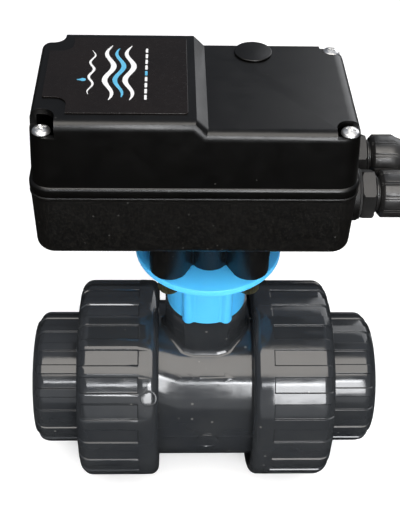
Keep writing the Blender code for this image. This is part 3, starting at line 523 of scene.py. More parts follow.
def nut_mesh(side, first_panel):
    inner_edge = rounded_path([(22.5, NUT_BORE, 0.6), (22.5, NUT_RADIUS, 4.6), (40, NUT_RADIUS, 0),
                               (40, NUT_BORE, 0)], 7)[:-2]
    shoulder = arc((55.6, 43.8), 5.9, 90, 0, 8)
    grip = [(NUT_PANEL_START + PANEL_EDGE, NUT_RADIUS)]
    grip += [(NUT_PANEL_START + step, NUT_RADIUS) for step in (6, 12, 18)]
    grip += shoulder
    outer = [(point, point) for point in inner_edge[:-1]]
    outer += [((NUT_PANEL_START, NUT_RADIUS), (NUT_PANEL_START, NUT_RADIUS))]
    outer += sunk(grip, NUT_PANEL_DEPTH, 60.4)
    inside = [(61.5, 40), (61.5, 34.4), (60.6, 33.4), (52.4, 33.4), (52.4, NUT_BORE)]
    rows = outer + [(point, point) for point in inside]
    columns = panel_columns(NUT_PANELS, NUT_PANEL_WIDTH, NUT_RADIUS, first_panel)
    return mirrored(finished(ring(rows, columns), 0.14), side)


def connector_mesh(side, first_panel):
    corner = arc((78.0, 28.0), 5.0, 90, 10, 6)
    grip = [(x, CONNECTOR_RADIUS) for x in (61.0, 68.0, 74.0)] + corner
    rows = [(point, point) for point in ((46.3, 19.6), (46.3, 42.5), (52.0, 42.5), (52.0, 33.0),
                                         (60.6, CONNECTOR_RADIUS))]
    rows += sunk(grip, CONNECTOR_PANEL_DEPTH, 82.4)
    rows += [(point, point) for point in ((84.0, 28.2), (84.0, 26.0), (83.0, 25.0), (53.0, 24.8),
                                          (53.0, 19.6))]
    columns = panel_columns(CONNECTOR_PANELS, CONNECTOR_PANEL_WIDTH, CONNECTOR_RADIUS, first_panel)
    return mirrored(finished(ring(rows, columns), 0.14), side)


def gate_mark(radius, height, place_x, angle, on_radius):
    """Low round mark left by the mould's gate, laid on a barrel at an angle above the front."""
    rim = rounded_path([(-1.0, 0.3, 0), (-1.0, radius, 0), (height, radius, 0.28),
                        (height - 0.02, radius - 1.0, 0.22), (height - 0.4, radius - 1.3, 0),
                        (height - 0.4, 0.3, 0)], 3)
    mesh = turned(rim, 32)
    lift = Matrix.Translation(Vector((place_x, -on_radius, 0)) * MM)
    face_front = Matrix.Rotation(-math.pi / 2, 4, "Z")
    mesh.transform(Matrix.Rotation(-math.radians(angle), 4, "X") @ lift @ face_front)
    return mesh


def make_unions():
    left_nut = together([nut_mesh("left", -1.9), gate_mark(4.0, 0.16, -27.3, 36, NUT_RADIUS - 0.1)])
    left_nut.shade_smooth()
    left_nut.set_sharp_from_angle(angle=SMOOTH_ANGLE)
    stand_for("union_nut_left_grip", left_nut, ["union_nut_left"])
    stand_for("union_nut_right_grip", nut_mesh("right", -1.9), ["union_nut_right"])
    for side in ("left", "right"):
        connector = "end_connector_" + side
        stand_for(connector + "_socket", connector_mesh(side, 4), [connector])


make_unions()


# ---------------------------------------------------------------- valve body and adapter

BARREL_RADIUS = 39.3
THREAD_RADIUS = 44.0
THREAD_PITCH = 3.0
BODY_END = 46.0
PARTING_LINE = 0.12
TOWER_TOP = 57.2
TOWER_FILLET = 2.6
NECK_LOW = 57.5
FLANGE_LOW = 88.0
FLANGE_TOP = 91.2
FLANGE_RADIUS = 33.0
OUTLINE_STEPS = 360


def reach(loop, angle):
    """Distance from the origin to the farthest crossing of a loop in a direction."""
    ray = Vector((math.cos(angle), math.sin(angle)))
    farthest = 0.0
    for index, point in enumerate(loop):
        start, along = Vector(point), Vector(loop[(index + 1) % len(loop)]) - Vector(point)
        spread = ray.cross(along)
        if abs(spread) < 1e-9:
            continue
        share = start.cross(ray) / spread
        distance = start.cross(along) / spread
        if 0 <= share <= 1 and distance > farthest:
            farthest = distance
    return farthest


def around(loops, steps=OUTLINE_STEPS):
    """One loop round the outside of several loops that all hold or face the origin."""
    outline = []
    for step in range(steps):
        angle = math.tau * (step + 0.5) / steps
        distance = max(reach(loop, angle) for loop in loops)
        outline.append((distance * math.cos(angle), distance * math.sin(angle)))
    return outline


def circle(radius, centre=(0, 0), steps=OUTLINE_STEPS):
    half_step = 180 / steps
    return arc(centre, radius, half_step, 360 + half_step, steps)[:-1]


def grown(loop, distance):
    """The loop moved outwards along its normals, or inwards by a negative distance."""
    result = []
    for index, point in enumerate(loop):
        along = Vector(loop[(index + 1) % len(loop)]) - Vector(loop[index - 1])
        if along.length < 1e-9:
            result.append(point)
            continue
        along.normalize()
        result.append((point[0] + along.y * distance, point[1] - along.x * distance))
    return result


def at_height(loop, height):
    return [(x, y, height) for x, y in loop]


def four_ways(offset):
    """The four places at plus and minus an offset, from the front left round to the back left."""
    x, y = offset
    return [(-x, -y), (x, -y), (x, y), (-x, y)]


def barrel_mesh():
    """Body of the valve: threads under the nuts, a plain waist with a parting line, open bore."""
    threads = [(26.0, BARREL_RADIUS + 0.6), (26.6, THREAD_RADIUS)]
    x = 27.6
    while x < 44:
        threads += [(x, THREAD_RADIUS), (x + 0.7, THREAD_RADIUS - 1.2), (x + 1.3, THREAD_RADIUS - 1.2),
                    (x + 2.0, THREAD_RADIUS)]
        x += THREAD_PITCH
    threads += [(45.2, THREAD_RADIUS), (BODY_END, THREAD_RADIUS - 0.8)]
    waist = [(place, BARREL_RADIUS) for place in (25.4, 12.7, 0, -12.7, -25.4)]
    groove = [(BODY_END, 37.8), (42.6, 37.8), (42.6, 34.2), (BODY_END, 34.2)]
    left = [(-place, radius) for place, radius in threads]
    inside = [(-x, r) for x, r in groove]
    inside += [(-BODY_END, 19.5), (-22.3, 19.5), (-22.3, 25.8), (-19, 25.8), (-19, 30.5),
               (BODY_END, 30.5)]
    rows = [(point, point) for point in reversed(threads)]
    rows += [(point, (point[0], point[1] + PARTING_LINE)) for point in waist]
    rows += [(point, point) for point in left + inside + groove[::-1]]
    columns = []
    for middle in (0, 180):
        columns += [(middle - 0.45, 0), (middle - 0.2, 1), (middle + 0.2, 1), (middle + 0.45, 0)]
        columns += [(middle + 0.45 + 179.1 * step / 60, 0) for step in range(1, 60)]
    return finished(ring(rows, columns), 0.1)


def tower_mesh():
    """Eight-sided stem tower with a fillet that follows the barrel at its foot."""
    quarter = [(19.4, 2.5, 4), (15.6, 9.5, 4), (10.2, 15.5, 2.5), (5.9, 16.5, 0.4)]
    corners = quarter + [(-x, y, r) for x, y, r in reversed(quarter)]
    corners += [(-x, -y, r) for x, y, r in corners]
    plan = around([rounded_path(corners, 6)], 180)
    sections = [at_height(grown(plan, TOWER_FILLET), 28)]
    for step in range(9):
        turn = math.pi / 2 * step / 8
        outward = TOWER_FILLET * (1 - math.sin(turn))
        lift = TOWER_FILLET * (1 - math.cos(turn))
        section = []
        for x, y in grown(plan, outward):
            on_barrel = math.sqrt(max(0.0, BARREL_RADIUS ** 2 - y ** 2))
            section.append((x, y, on_barrel + lift - 0.04))
        sections.append(section)
    sections += [at_height(plan, TOWER_TOP - 0.5), at_height(grown(plan, -0.15), TOWER_TOP - 0.15),
                 at_height(grown(plan, -0.5), TOWER_TOP)]
    return finished(loft(sections))


def on_barrel(mesh, angle, place_x=0.0):
    """A flat mark drawn in X and Y, wrapped on the barrel at an angle above the front."""
    for vert in mesh.vertices:
        x, along, height = vert.co / MM
        turn = math.radians(angle) + along / BARREL_RADIUS
        radius = BARREL_RADIUS + height
        vert.co = Vector((x + place_x, -radius * math.cos(turn), radius * math.sin(turn))) * MM
    mesh.set_sharp_from_angle(angle=SMOOTH_ANGLE)
    return mesh


def flow_arrow():
    """Plain raised arrow, a generic mark for the direction of flow."""
    marks = []
    for start in (-15.0, -9.0):
        chevron = [(0, -1.9), (2.6, 0), (0, 1.9), (1.3, 1.9), (3.9, 0), (1.3, -1.9)]
        marks.append(shifted(chevron[::-1], start))
    marks.append([(-3.0, -0.65), (9.0, -0.65), (9.0, -2.3), (14.5, 0), (9.0, 2.3), (9.0, 0.65),
                  (-3.0, 0.65)])
    return together([prism(mark, -0.2, 0.32, 0.12) for mark in marks])


def make_valve_body():
    """The moulding, with a bore and an inner pocket for the stem and its flange."""
    marks = [gate_mark(5.6, 0.75, 1.2, -5, BARREL_RADIUS - 0.1), on_barrel(flow_arrow(), 47)]
    parts = []
    for solid in (barrel_mesh(), tower_mesh(), rod(11.5, TOWER_TOP - 1, 66, sides=64)):
        parts.append(combined(solid, [rod(9.0, 20, 70, sides=64), rod(11.3, 20, 32.3, sides=64)]))
    stand_for("valve_body_moulding", together(parts + marks), ["valve_body"])


def neck_outline():
    """Round neck with a pad in front and behind, each with two small screw lobes."""
    loops = [circle(18.5, steps=72), rounded_rectangle(11.5, 18.3, 2.0)]
    for side in (-1, 1):
        loops.append([(0, 0)] + arc((0, 0), 19.2, side * 90 - 16, side * 90 + 16, 10))
        loops += [circle(2.7, (x, side * 16.5), 32) for x in (-8.6, 8.6)]
    return around(loops)


def adapter_mesh():
    neck = neck_outline()
    sections = [at_height(circle(11.8), NECK_LOW), at_height(grown(neck, -0.5), NECK_LOW),
                at_height(grown(neck, -0.15), NECK_LOW + 0.15), at_height(neck, NECK_LOW + 0.5),
                at_height(neck, FLANGE_LOW - 0.7), at_height(grown(neck, 0.2), FLANGE_LOW - 0.2),
                at_height(grown(neck, 0.7), FLANGE_LOW)]
    edge = rounded_path([(20, FLANGE_LOW, 0), (FLANGE_RADIUS, FLANGE_LOW, 0.6),
                         (FLANGE_RADIUS, FLANGE_TOP, 0.55), (20, FLANGE_TOP, 0)], 4)[1:-1]
    sections += [at_height(circle(radius), height) for radius, height in edge]
    sections += [at_height(circle(10.7), FLANGE_TOP), at_height(circle(10.7), 66.3),
                 at_height(circle(11.8), 66.3)]
    return finished(loft(sections, joined=True))


def make_adapter():
    stand_for("mounting_adapter_moulding", adapter_mesh(), ["mounting_adapter"])


make_valve_body()
make_adapter()


# ---------------------------------------------------------------- housing

BOX_X = -7.6
BASE_LOW = 113.4
BASE_TOP = 143.7
BASE_LOW_HALF = (64.8, 34.6)
BASE_TOP_HALF = (65.2, 35.2)
BASE_FILLET = 4.0
BOX_CORNER = 8.0
F05_OFFSET = 17.68
BOSS_LOW = 91.5
COVER_LOW = 144.0
RIM_TOP = 149.2
RIM_HALF = (65.5, 36.2)
COVER_LOW_HALF = (64.6, 35.4)
COVER_TOP_HALF = (62.9, 34.5)
COVER_HIGH = 178.0
COVER_STEP = 173.6
RAMP_X = (-7.6, -3.2)
COVER_FILLET = 4.0
PILLAR_OFFSET = (58.4, 30.1)
POCKET_FLOOR = 171.0
POCKET_RADIUS = 5.2
SPINDLE_PLACE = (17.155, 25.82)
SPINDLE_ROOM = 6.0              # radius left free round the gear of the hand override
GLAND_X = 60.2
GLAND_Y = 13.2
GLAND_Z = 129.5


def box_loop(half, corner, inset, height):
    """Rounded rectangle of the housing at a height, drawn in by an inset."""
    half_x, half_y = half
    loop = rounded_rectangle(half_x - inset, half_y - inset, max(1.0, corner - inset), 8)
    return at_height(shifted(loop, BOX_X), height)


def base_half(height):
    share = (height - BASE_LOW) / (BASE_TOP - BASE_LOW)
    return tuple(low + (top - low) * share for low, top in zip(BASE_LOW_HALF, BASE_TOP_HALF))


def base_mesh():
    sections = []
    for step in range(9):
        turn = math.pi / 2 * step / 8
        height = BASE_LOW + BASE_FILLET * (1 - math.cos(turn))
        inset = BASE_FILLET * (1 - math.sin(turn))
        sections.append(box_loop(base_half(height), BOX_CORNER, inset, height))
    lip = ((0, 141.9), (-0.3, 142.2), (-0.4, 142.5), (-0.4, 143.2), (-0.1, 143.6), (0.3, BASE_TOP))
    for inset, height in lip:
        sections.append(box_loop(base_half(height), BOX_CORNER, inset, height))
    for inset, height in ((3.2, BASE_TOP), (5, 117)):
        sections.append(box_loop(BASE_TOP_HALF, BOX_CORNER, inset, height))
    return finished(loft(sections))


def boss_mesh():
    """Star of four bolt lobes and four ribs under the housing."""
    loops = [circle(18.0, steps=72)]
    loops += [circle(8.5, place, 72) for place in four_ways((F05_OFFSET, F05_OFFSET))]
    loops += [circle(8.5, place, 72) for place in ((11.5, 0), (0, 11.5), (-11.5, 0), (0, -11.5))]
    star = around(loops)
    sections = [at_height(circle(12.4), BOSS_LOW), at_height(grown(star, -0.4), BOSS_LOW),
                at_height(grown(star, -0.1), BOSS_LOW + 0.1), at_height(star, BOSS_LOW + 0.5),
                at_height(star, 114.6), at_height(circle(12.4), 114.6)]
    return finished(loft(sections, joined=True))


def gland_boss(y):
    """Short round boss on the end wall, which just covers the start of the gland's hexagon."""
    low, high = GLAND_X - 5.0, GLAND_X + 0.7
    rim = rounded_path([(low, 8.3, 0), (high, 8.3, 0), (high, 11.3, 0.5), (low, 11.6, 0)][::-1], 4)
    mesh = turned(rim, 48)
    mesh.transform(Matrix.Translation(Vector((0, y, GLAND_Z)) * MM))
    return mesh


def make_base():
    shaft_hole = rod(12.4, 110, 120, sides=64)
    shell = combined(base_mesh(), [shaft_hole, rod(SPINDLE_ROOM, 119, 150, SPINDLE_PLACE)])
    mesh = together([shell, boss_mesh(), gland_boss(-GLAND_Y), gland_boss(GLAND_Y)])
    stand_for("base_housing_shell", mesh, ["base_housing"], "dusty_housing")


def round_edges(bm, edges, width, segments):
    bmesh.ops.bevel(bm, geom=edges, offset=width, offset_type="OFFSET", segments=segments,
                    profile=0.5, affect="EDGES")


def upright_edges(bm):
    return [edge for edge in bm.edges if abs(edge.verts[0].co.z - edge.verts[1].co.z) > 5
            and abs(edge.verts[0].co.x - edge.verts[1].co.x) < 5
            and edge.calc_face_angle(0) > 1]


def top_edges(bm):
    bmesh.ops.recalc_face_normals(bm, faces=bm.faces)
    found = []
    for edge in bm.edges:
        tilts = sorted(face.normal.z for face in edge.link_faces)
        if len(tilts) == 2 and tilts[1] > 0.5 and abs(tilts[0]) < 0.4:
            found.append(edge)
    return found


def cover_block(inset, low, corner, fillet):
    """Tapered block with the ramp in its top; an inset gives the hollow inside the walls."""
    heights = (COVER_HIGH - inset, COVER_STEP - inset)
    slant = inset * math.tan(math.pi / 8)
    ramp_places = [(x - slant - BOX_X) / (COVER_TOP_HALF[0] - inset) for x in RAMP_X]
    bm = bmesh.new()
    bmesh.ops.create_cube(bm, size=2)
    for place in ramp_places:
        geom = bm.verts[:] + bm.edges[:] + bm.faces[:]
        bmesh.ops.bisect_plane(bm, geom=geom, plane_co=(place, 0, 0), plane_no=(1, 0, 0))
    for vert in bm.verts:
        top = vert.co.z > 0
        half_x, half_y = COVER_TOP_HALF if top else COVER_LOW_HALF
        height = (heights[0] if vert.co.x < sum(ramp_places) / 2 else heights[1]) if top else low
        vert.co = (BOX_X + vert.co.x * (half_x - inset), vert.co.y * (half_y - inset), height)
    round_edges(bm, upright_edges(bm), corner, 8)
    if fillet:
        round_edges(bm, top_edges(bm), fillet, 6)
    return finished(bm)


def pocket(sign_x, sign_y):
    """Screw pocket open to the outside of a corner, with a round inner edge."""
    axis = Vector((BOX_X + sign_x * PILLAR_OFFSET[0], sign_y * PILLAR_OFFSET[1]))
    far = 20
    corners = [(axis.x - sign_x * POCKET_RADIUS, axis.y - sign_y * POCKET_RADIUS, POCKET_RADIUS - 0.1),
               (axis.x + sign_x * far, axis.y - sign_y * POCKET_RADIUS, 0),
               (axis.x + sign_x * far, axis.y + sign_y * far, 0),
               (axis.x - sign_x * POCKET_RADIUS, axis.y + sign_y * far, 0)]
    return prism(rounded_path(corners, 10), POCKET_FLOOR, COVER_HIGH + 5)


def rim_mesh():
    """Flange round the foot of the cover, with a sloping top edge."""
    sections = [box_loop(RIM_HALF, BOX_CORNER + 1, inset, height) for inset, height in
                ((0.35, COVER_LOW), (0.1, COVER_LOW + 0.1), (0, COVER_LOW + 0.35), (0, RIM_TOP - 1.9),
                 (0.15, RIM_TOP - 1.4), (1.3, RIM_TOP - 0.25), (1.9, RIM_TOP), (3.6, RIM_TOP),
                 (3.6, COVER_LOW))]
    return finished(loft(sections, joined=True))


def make_cover():
    block = cover_block(0, COVER_LOW + 1, BOX_CORNER, COVER_FILLET)
    hollow = cover_block(2.5, COVER_LOW - 2, 5.5, 0)
    pockets = together([pocket(x, y) for x, y in four_ways((1, 1))])
    plug_hole = rod(4.7, 165, 180, SPINDLE_PLACE)
    shell = combined(block, [pockets, hollow, plug_hole])
    shell = eased(shell, 0.3, 2, 32)
    mesh = together([shell, rim_mesh()])
    stand_for("cover_shell", mesh, ["cover"])


make_base()
make_cover()


# ---------------------------------------------------------------- label and its print

LABEL_LEFT = -66.5
LABEL_RIGHT = -10.8
LABEL_HALF = 28.5
LABEL_NOTCH = (-57.0, 17.5)
LABEL_BITE = 5.0
LABEL_LOW = 178.15
LABEL_TOP = 178.55
PRINT_LOW = 178.45
PRINT_TOP = 178.62


def label_outline():
    notch_x, notch_y = LABEL_NOTCH
    upper = arc((LABEL_RIGHT - 1.2, LABEL_HALF - 1.2), 1.2, 0, 90, 5) + [(notch_x, LABEL_HALF)]
    upper += arc((notch_x - LABEL_BITE, notch_y + LABEL_BITE), LABEL_BITE, 0, -90, 12)
    upper += arc((LABEL_LEFT + 0.8, notch_y - 0.8), 0.8, 90, 180, 4)
    return upper + [(x, -y) for x, y in reversed(upper)]


def stroke(middle, start, end, width, swing, wave, phase):
    """Print of a wavy line along Y that tapers to a point at both ends."""
    steps = 48
    left, right = [], []
    for step in range(steps + 1):
        share = step / steps
        y = start + (end - start) * share
        x = middle + swing * math.sin(math.tau * y / wave + phase)
        half = width / 2 * (0.12 + 0.88 * math.sin(math.pi * share) ** 0.6)
        left.append((x - half, y))
        right.append((x + half, y))
    return prism(right + left[::-1], PRINT_LOW, PRINT_TOP)


def droplet(middle, radius):
    """Print of a droplet whose tip points along -X."""
    round_end = arc(middle, radius, -120, 120, 20)
    tip = (middle[0] - 2.3 * radius, middle[1])
    return prism(round_end + [tip], PRINT_LOW, PRINT_TOP)


def make_label():
    stand_for("label_sheet", prism(label_outline(), LABEL_LOW, LABEL_TOP, 0.12), ["label_plate"])
    white = [stroke(-41.6, -19.5, 21.5, 2.3, 1.6, 20.5, 0.0),
             stroke(-33.6, -19.5, 21.5, 2.3, 1.6, 20.5, 0.0),
             stroke(-48.6, -15.5, 17.5, 1.1, 0.9, 11.0, 0.0)]
    white += [prism(shifted(rounded_rectangle(0.5, 1.6, 0.3, 3), -27.0, y), PRINT_LOW, PRINT_TOP)
              for y in (-17.5, -13.1, -8.7, -4.3, 4.5, 8.9, 13.3, 17.7)]
    blue = [stroke(-37.6, -17.5, 19.5, 2.0, 1.6, 20.5, 0.0), droplet((-51.6, -5.0), 1.1),
            prism(shifted(rounded_rectangle(0.5, 1.6, 0.3, 3), -27.0, 0.1), PRINT_LOW, PRINT_TOP)]
    detail("label_print_white", together(white), "valve_and_housing", "label", "white_ink")
    detail("label_print_blue", together(blue), "valve_and_housing", "label", "blue_ink")


# ---------------------------------------------------------------- plug, screws and bolts

CORNERS = ("front_left", "front_right", "back_right", "back_left")
SCREW_SEAT = 171.3
CROSS = (0.5, 2.1)              # half width and reach of a cross recess


def corner_places(middle, offset):
    return {name: (middle + x, y) for name, (x, y) in zip(CORNERS, four_ways(offset))}


def upright_profile(corners, sides, place=(0, 0, 0), steps=5):
    """Round piece standing at a place, from a closed (height, radius) outline."""
    return upright(turned(rounded_path(corners, steps), sides), place)


def make_plug():
    mesh = upright_profile([(173.9, 0.05, 0), (174.55, 0.05, 0), (174.45, 7.98, 0.4), (173.9, 7.9, 0.1),
                            (173.9, 4.4, 0), (169.9, 4.4, 0.3), (169.9, 3.3, 0), (172.9, 3.3, 0),
                            (172.9, 0.05, 0)], 64, (*SPINDLE_PLACE, 0))
    stand_for("override_plug_cap", mesh, ["override_plug"])


def cross_recess(low, high, turn):
    half, reach_out = CROSS
    bars = [prism(rounded_rectangle(a, b, half * 0.5, 3), low, high)
            for a, b in ((half, reach_out), (reach_out, half))]
    bars.append(rod(0.95, low - 0.3, high, sides=16))
    return [turned_about(bar, math.radians(turn), "Z") for bar in bars]


def make_cover_screws():
    turns = {"front_left": 20, "front_right": 62, "back_right": 35, "back_left": 5}
    head = [(0, 0.05, 0), (2.05, 0.05, 0), (1.95, 1.7, 1.2), (1.1, 3.2, 0.9), (0.3, 3.62, 0.2),
            (0, 3.62, 0), (0, 1.9, 0), (-43.0, 1.9, 0.3), (-44.0, 0.05, 0)]
    for name, (x, y) in corner_places(BOX_X, PILLAR_OFFSET).items():
        mesh = combined(upright_profile(head, 40), cross_recess(1.0, 3, turns[name]))
        mesh = eased(mesh, 0.08, 2, 40)
        mesh.transform(Matrix.Translation(Vector((x, y, SCREW_SEAT)) * MM))
        stand_for("cover_screw_head_" + name, mesh, ["cover_screw_" + name], "bright_screw")


def make_flange_bolts():
    """Socket-head bolts and washers under the flange; their knurled heads point down."""
    washer = [(-1.4, 2.95, 0), (-0.3, 2.95, 0), (-0.3, 5.6, 0.25), (-1.4, 5.6, 0.25)]
    steps = 72
    knurl = [(radius * math.cos(math.tau * step / steps), radius * math.sin(math.tau * step / steps))
             for step, radius in ((n, (4.62, 5.0, 5.0)[n % 3]) for n in range(steps))]
    low, high = -8.6, -1.4
    sections = [at_height(grown(circle(4.5, steps=steps), 0), low)]
    sections += [at_height(circle(4.62, steps=steps), low + 0.15), at_height(knurl, low + 0.8),
                 at_height(knurl, high)]
    for name, (x, y) in corner_places(0, (F05_OFFSET, F05_OFFSET)).items():
        socket = prism(arc((0, 0), 2.9, 0, 300, 5), low - 1, low + 3.2)
        head = combined(finished(loft(sections)), [socket])
        shank = rod(2.9, high - 0.5, 15.6, sides=24)
        mesh = together([head, shank, upright_profile(washer, 40)])
        mesh.shade_smooth()
        mesh.set_sharp_from_angle(angle=SMOOTH_ANGLE)
        mesh.transform(Matrix.Translation(Vector((x, y, FLANGE_LOW - 0.1)) * MM))
        stand_for("flange_bolt_with_washer_" + name, mesh, ["flange_bolt_" + name])


# ---------------------------------------------------------------- cable glands

GLANDS = (("front", -GLAND_Y, 63.0), ("back", GLAND_Y, 39.0))    # with the first groove's angle
DOME_SECTORS = 10
DOME_RADIUS = 10.0
DOME_GROOVE = 0.6


def hexagon_block(low, high, flats, chamfer):
    """Hexagon about Z whose corners are turned off to a cone at both ends."""
    outline = arc((0, 0), flats / math.cos(math.pi / 6), 0, 300, 5)
    block = prism(outline, low, high)
    widest = flats / math.cos(math.pi / 6) + 0.05
    narrow = widest - chamfer
    edge = chamfer * 0.6
    cone = upright_profile([(low - 0.5, 0.05, 0), (low - 0.5, narrow, 0), (low + edge, widest, 0),
                            (high - edge, widest, 0), (high + 0.5, narrow, 0),
                            (high + 0.5, 0.05, 0)], 72)
    return combined(block, [cone], "INTERSECT")


def gland_body_mesh():
    threads = [(2.2, 8.2), (7.6, 8.2)]
    for start in (7.9, 9.5, 11.1, 12.7, 14.3, 15.9):
        threads += [(start, 6.9), (start + 0.35, 7.7), (start + 0.85, 7.7), (start + 1.2, 6.9)]
    sleeve = [(-12.0, 7.7)] + threads + [(17.5, 6.9), (17.5, 6.2), (4, 6.2), (4, 4.8), (-12.0, 4.8)]
    nut = hexagon_block(2.0, 7.3, 9.6, 1.3)
    nut.transform(Matrix.Rotation(math.pi / 2, 4, "Y"))
    hollow = turned([(1.0, 0.05), (8.0, 0.05), (8.0, 7.0), (1.0, 7.0)], 32)
    return together([turned(sleeve, 64, 0.08), combined(nut, [hollow])])


def dome_nut_mesh(first_groove):
    """Domed nut whose flats are parted by pairs of narrow grooves."""
    grip = [(x, DOME_RADIUS) for x in (11.2, 14.0, 17.0, 19.4)]
    crown = [(21.4, 8.9), (22.6, 8.5), (24.0, 7.8), (25.4, 7.0), (26.8, 6.0), (27.3, 5.5)]
    path = [(9.8, 8.6), (11.0, 9.9)] + grip + crown
    rows = []
    for x, radius in path:
        depth = DOME_GROOVE if 10.5 < x < 19.5 else 0.0
        rows.append(((x, radius), (x, radius - depth)))
    rows += [(point, point) for point in ((27.3, 4.9), (18.5, 8.0), (9.8, 8.0))]
    columns = []
    pitch = 360 / DOME_SECTORS
    for sector in range(DOME_SECTORS):
        middle = first_groove + sector * pitch
        for groove in (-3.3, 3.3):
            columns += [(middle + groove + offset, share) for offset, share in
                        ((-1.1, 0), (-0.6, 1), (0.6, 1), (1.1, 0))]
        columns += [(middle + offset, 0) for offset in (8, 12, 16, 20, 24, 28)]
    return finished(ring(rows, columns), 0.1)


def make_glands():
    for side, y, first_groove in GLANDS:
        name = "gland_" + side + "_"
        place = Matrix.Translation(Vector((GLAND_X, y, GLAND_Z)) * MM)
        pieces = {
            "body": gland_body_mesh(),
            "dome_nut": dome_nut_mesh(first_groove),
            "washer": turned(rounded_path([(0.3, 8.3, 0), (0.3, 10.8, 0.4), (1.7, 10.8, 0.4),
                                           (1.7, 8.3, 0)][::-1], 4), 64),
            "seal": turned(rounded_path([(6, 3.3, 0.3), (6, 5.9, 0.3), (19.5, 5.9, 1.0),
                                         (19.5, 3.3, 0.4)][::-1], 4), 48),
        }
        for part, mesh in pieces.items():
            mesh.transform(place)
            mesh.set_sharp_from_angle(angle=SMOOTH_ANGLE)
            stand_for(name + part + "_shape", mesh, [name + part])


# ---------------------------------------------------------------- ball, seats and seals

BALL_RADIUS = 28.0
BALL_BORE = 19.0
SEAT_FACE = 28.4
CARRIER_RADIUS = 30.2


def ball_mesh():
    opening = math.degrees(math.asin(BALL_BORE / BALL_RADIUS))
    outside = [(BALL_RADIUS * math.cos(math.radians(a)), BALL_RADIUS * math.sin(math.radians(a)))
               for a in [opening + (180 - 2 * opening) * step / 40 for step in range(41)]]
    ball = turned(outside, 96)
    slot = prism([(-4.0, -30), (4.0, -30), (4.0, 30), (-4.0, 30)], 23.5, 30)
    return eased(combined(ball, [slot]), 0.3, 3, 35)


def seat_profile():
    radii = (24.6, 24.0, 23.2, 22.4, 21.6, 20.8, 20.2, 19.6)
    face = [(math.sqrt(SEAT_FACE ** 2 - r ** 2), r) for r in radii]
    return [(22.0, 25.4), (15.5, 25.4)] + face + [(22.0, 19.6)]


def make_inside():
    stand_for("valve_ball_sphere", ball_mesh(), ["valve_ball"])
    carrier = turned([(44, CARRIER_RADIUS), (19.0, CARRIER_RADIUS), (19.0, 25.8), (22.3, 25.8),
                      (22.3, 19.5), (44, 19.5)], 96, 0.3)
    slots = [prism([(41, -35), (50, -35), (50, 35), (41, 35)], -3, 3)]
    stand_for("seat_carrier_ring", combined(carrier, slots), ["seat_carrier"])
    for side in ("left", "right"):
        stand_for("ball_seat_ring_" + side, mirrored(turned(seat_profile(), 96, 0.15), side),
                  ["ball_seat_" + side])
        section = arc((44.5, 36.0), 1.4, 0, 345, 23)
        stand_for("union_seal_ring_" + side, mirrored(turned(section, 96), side), ["union_seal_" + side])


make_label()
make_plug()
make_cover_screws()
make_flange_bolts()
make_glands()
make_inside()


# ---------------------------------------------------------------- camera, lights and floor

CAMERA_PLACE = (-18.28, -338.55, 380.63)
CAMERA_PITCH = 41.83             # degrees below the horizon
CAMERA_YAW = 2.52
CAMERA_ROLL = 1.82
CAMERA_LENS = 66.6
FLOOR_GAP = 0.2
FLOOR_GLOW = 0.58
FLOOR_SIZE = 8                   # metres
BACKDROP_RADIUS = 3.9            # metres


def make_camera():
    data = bpy.data.cameras.new("camera")
    data.lens = CAMERA_LENS
    data.sensor_width = 36
    data.clip_start = 0.01
    camera = placed("camera", data)
    look = (Matrix.Rotation(-math.radians(CAMERA_YAW), 4, "Z")
            @ Matrix.Rotation(math.radians(90 - CAMERA_PITCH), 4, "X")
            @ Matrix.Rotation(math.radians(CAMERA_ROLL), 4, "Z"))
    camera.matrix_world = Matrix.Translation(Vector(CAMERA_PLACE) * MM) @ look
    bpy.context.scene.camera = camera


def area_light(name, heading, elevation, distance, size, radiance, colour):
    """Soft box in a direction from the object: heading is in degrees from the front to the right."""
    data = bpy.data.lights.new(name, "AREA")
    data.shape = "RECTANGLE"
    data.size, data.size_y = size
    data.energy = radiance * math.pi * size[0] * size[1]
    data.color = colour
    light = placed(name, data)
    turn, rise = math.radians(heading), math.radians(elevation)
    level = math.cos(rise)
    direction = Vector((math.sin(turn) * level, -math.cos(turn) * level, math.sin(rise)))
    light.location = Vector((0, 0, 0.06)) + direction * distance
    light.rotation_euler = direction.to_track_quat("Z", "Y").to_euler()


def make_world():
    """Even studio light, dim below the object and paler towards the top."""
    world = bpy.data.worlds.new("studio")
    world.use_nodes = True
    bpy.context.scene.world = world
    tree = world.node_tree
    source = tree.nodes.new("ShaderNodeTexCoord")
    split = tree.nodes.new("ShaderNodeSeparateXYZ")
    tree.links.new(source.outputs["Generated"], split.inputs["Vector"])
    shift = tree.nodes.new("ShaderNodeMath")
    shift.operation = "MULTIPLY_ADD"
    shift.inputs[1].default_value = 0.5
    shift.inputs[2].default_value = 0.5
    tree.links.new(split.outputs["Z"], shift.inputs[0])
    stops = [(0.0, grey(0.008)), (0.44, grey(0.014)), (0.54, (0.11, 0.12, 0.135)),
             (0.78, (0.13, 0.14, 0.16)), (0.92, (0.26, 0.28, 0.32)), (1.0, (0.28, 0.30, 0.34))]
    sky = ramp(tree, shift.outputs["Value"], stops)
    tree.links.new(sky, tree.nodes["Background"].inputs["Color"])
    tree.nodes["Background"].inputs["Strength"].default_value = 1.0


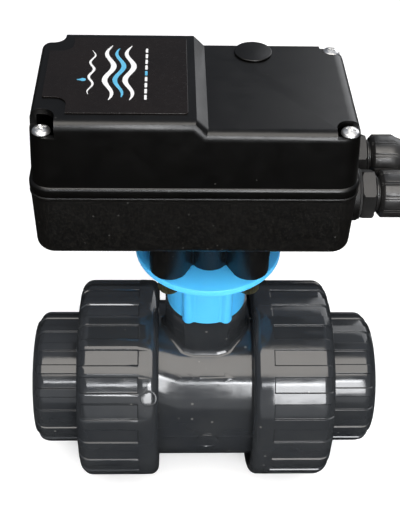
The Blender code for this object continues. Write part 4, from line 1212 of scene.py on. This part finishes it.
def make_floor():
    lowest = cad_bounds[0].z - FLOOR_GAP * MM
    bpy.ops.mesh.primitive_plane_add(size=FLOOR_SIZE, location=(0, 0, lowest))
    floor = bpy.context.object
    floor.name = "floor"
    material, tree, shader = new_material("pale_floor", 0.8)
    pale = ramp(tree, noise(tree, coordinates(tree), 60, 2), [(0.3, grey(0.80)), (0.7, grey(0.83))])
    tree.links.new(pale, shader.inputs["Base Color"])
    tree.links.new(pale, shader.inputs["Emission Color"])
    shader.inputs["Emission Strength"].default_value = FLOOR_GLOW
    floor.data.materials.append(material)
    floor.visible_glossy = False


def make_backdrop():
    """Pale dome that only the camera sees, so that it adds no light and no reflection."""
    lowest = cad_bounds[0].z - FLOOR_GAP * MM
    bpy.ops.mesh.primitive_uv_sphere_add(segments=48, ring_count=24, radius=BACKDROP_RADIUS,
                                         location=(0, 0, lowest))
    backdrop = bpy.context.object
    backdrop.name = "backdrop"
    material, tree, shader = new_material("pale_backdrop", 1.0)
    shader.inputs["Base Color"].default_value = (0, 0, 0, 1)
    height = tree.nodes.new("ShaderNodeSeparateXYZ")
    tree.links.new(coordinates(tree), height.inputs["Vector"])
    fade = ramp(tree, height.outputs["Z"], [(0.0, grey(1.0)), (1.0, grey(0.86))])
    tree.links.new(fade, shader.inputs["Emission Color"])
    shader.inputs["Emission Strength"].default_value = 1.0
    backdrop.data.materials.append(material)
    for kind in ("visible_diffuse", "visible_glossy", "visible_transmission", "visible_shadow"):
        setattr(backdrop, kind, False)


def make_lights():
    area_light("overhead", 0, 63, 1.3, (2.0, 0.80), 3.8, (1.0, 0.945, 0.875))
    area_light("strip", 0, 36, 1.31, (0.9, 0.05), 18.0, (0.95, 0.97, 1.0))
    area_light("key_right", 14, 26, 1.3, (0.36, 0.52), 12.0, (0.97, 0.98, 1.0))
    area_light("back_right", 143, 25, 1.4, (1.0, 1.2), 1.6, (0.97, 0.98, 1.0))
    area_light("fill_front", 0, 15, 1.5, (3.0, 0.9), 0.5, (0.95, 0.97, 1.0))


make_camera()
make_world()
make_floor()
make_backdrop()
make_lights()
bpy.context.scene.view_settings.view_transform = "Standard"

for node, item in frame["nodes"].items():
    item.data.materials.clear()
    item.data.materials.append(materials[node_slot[node]])
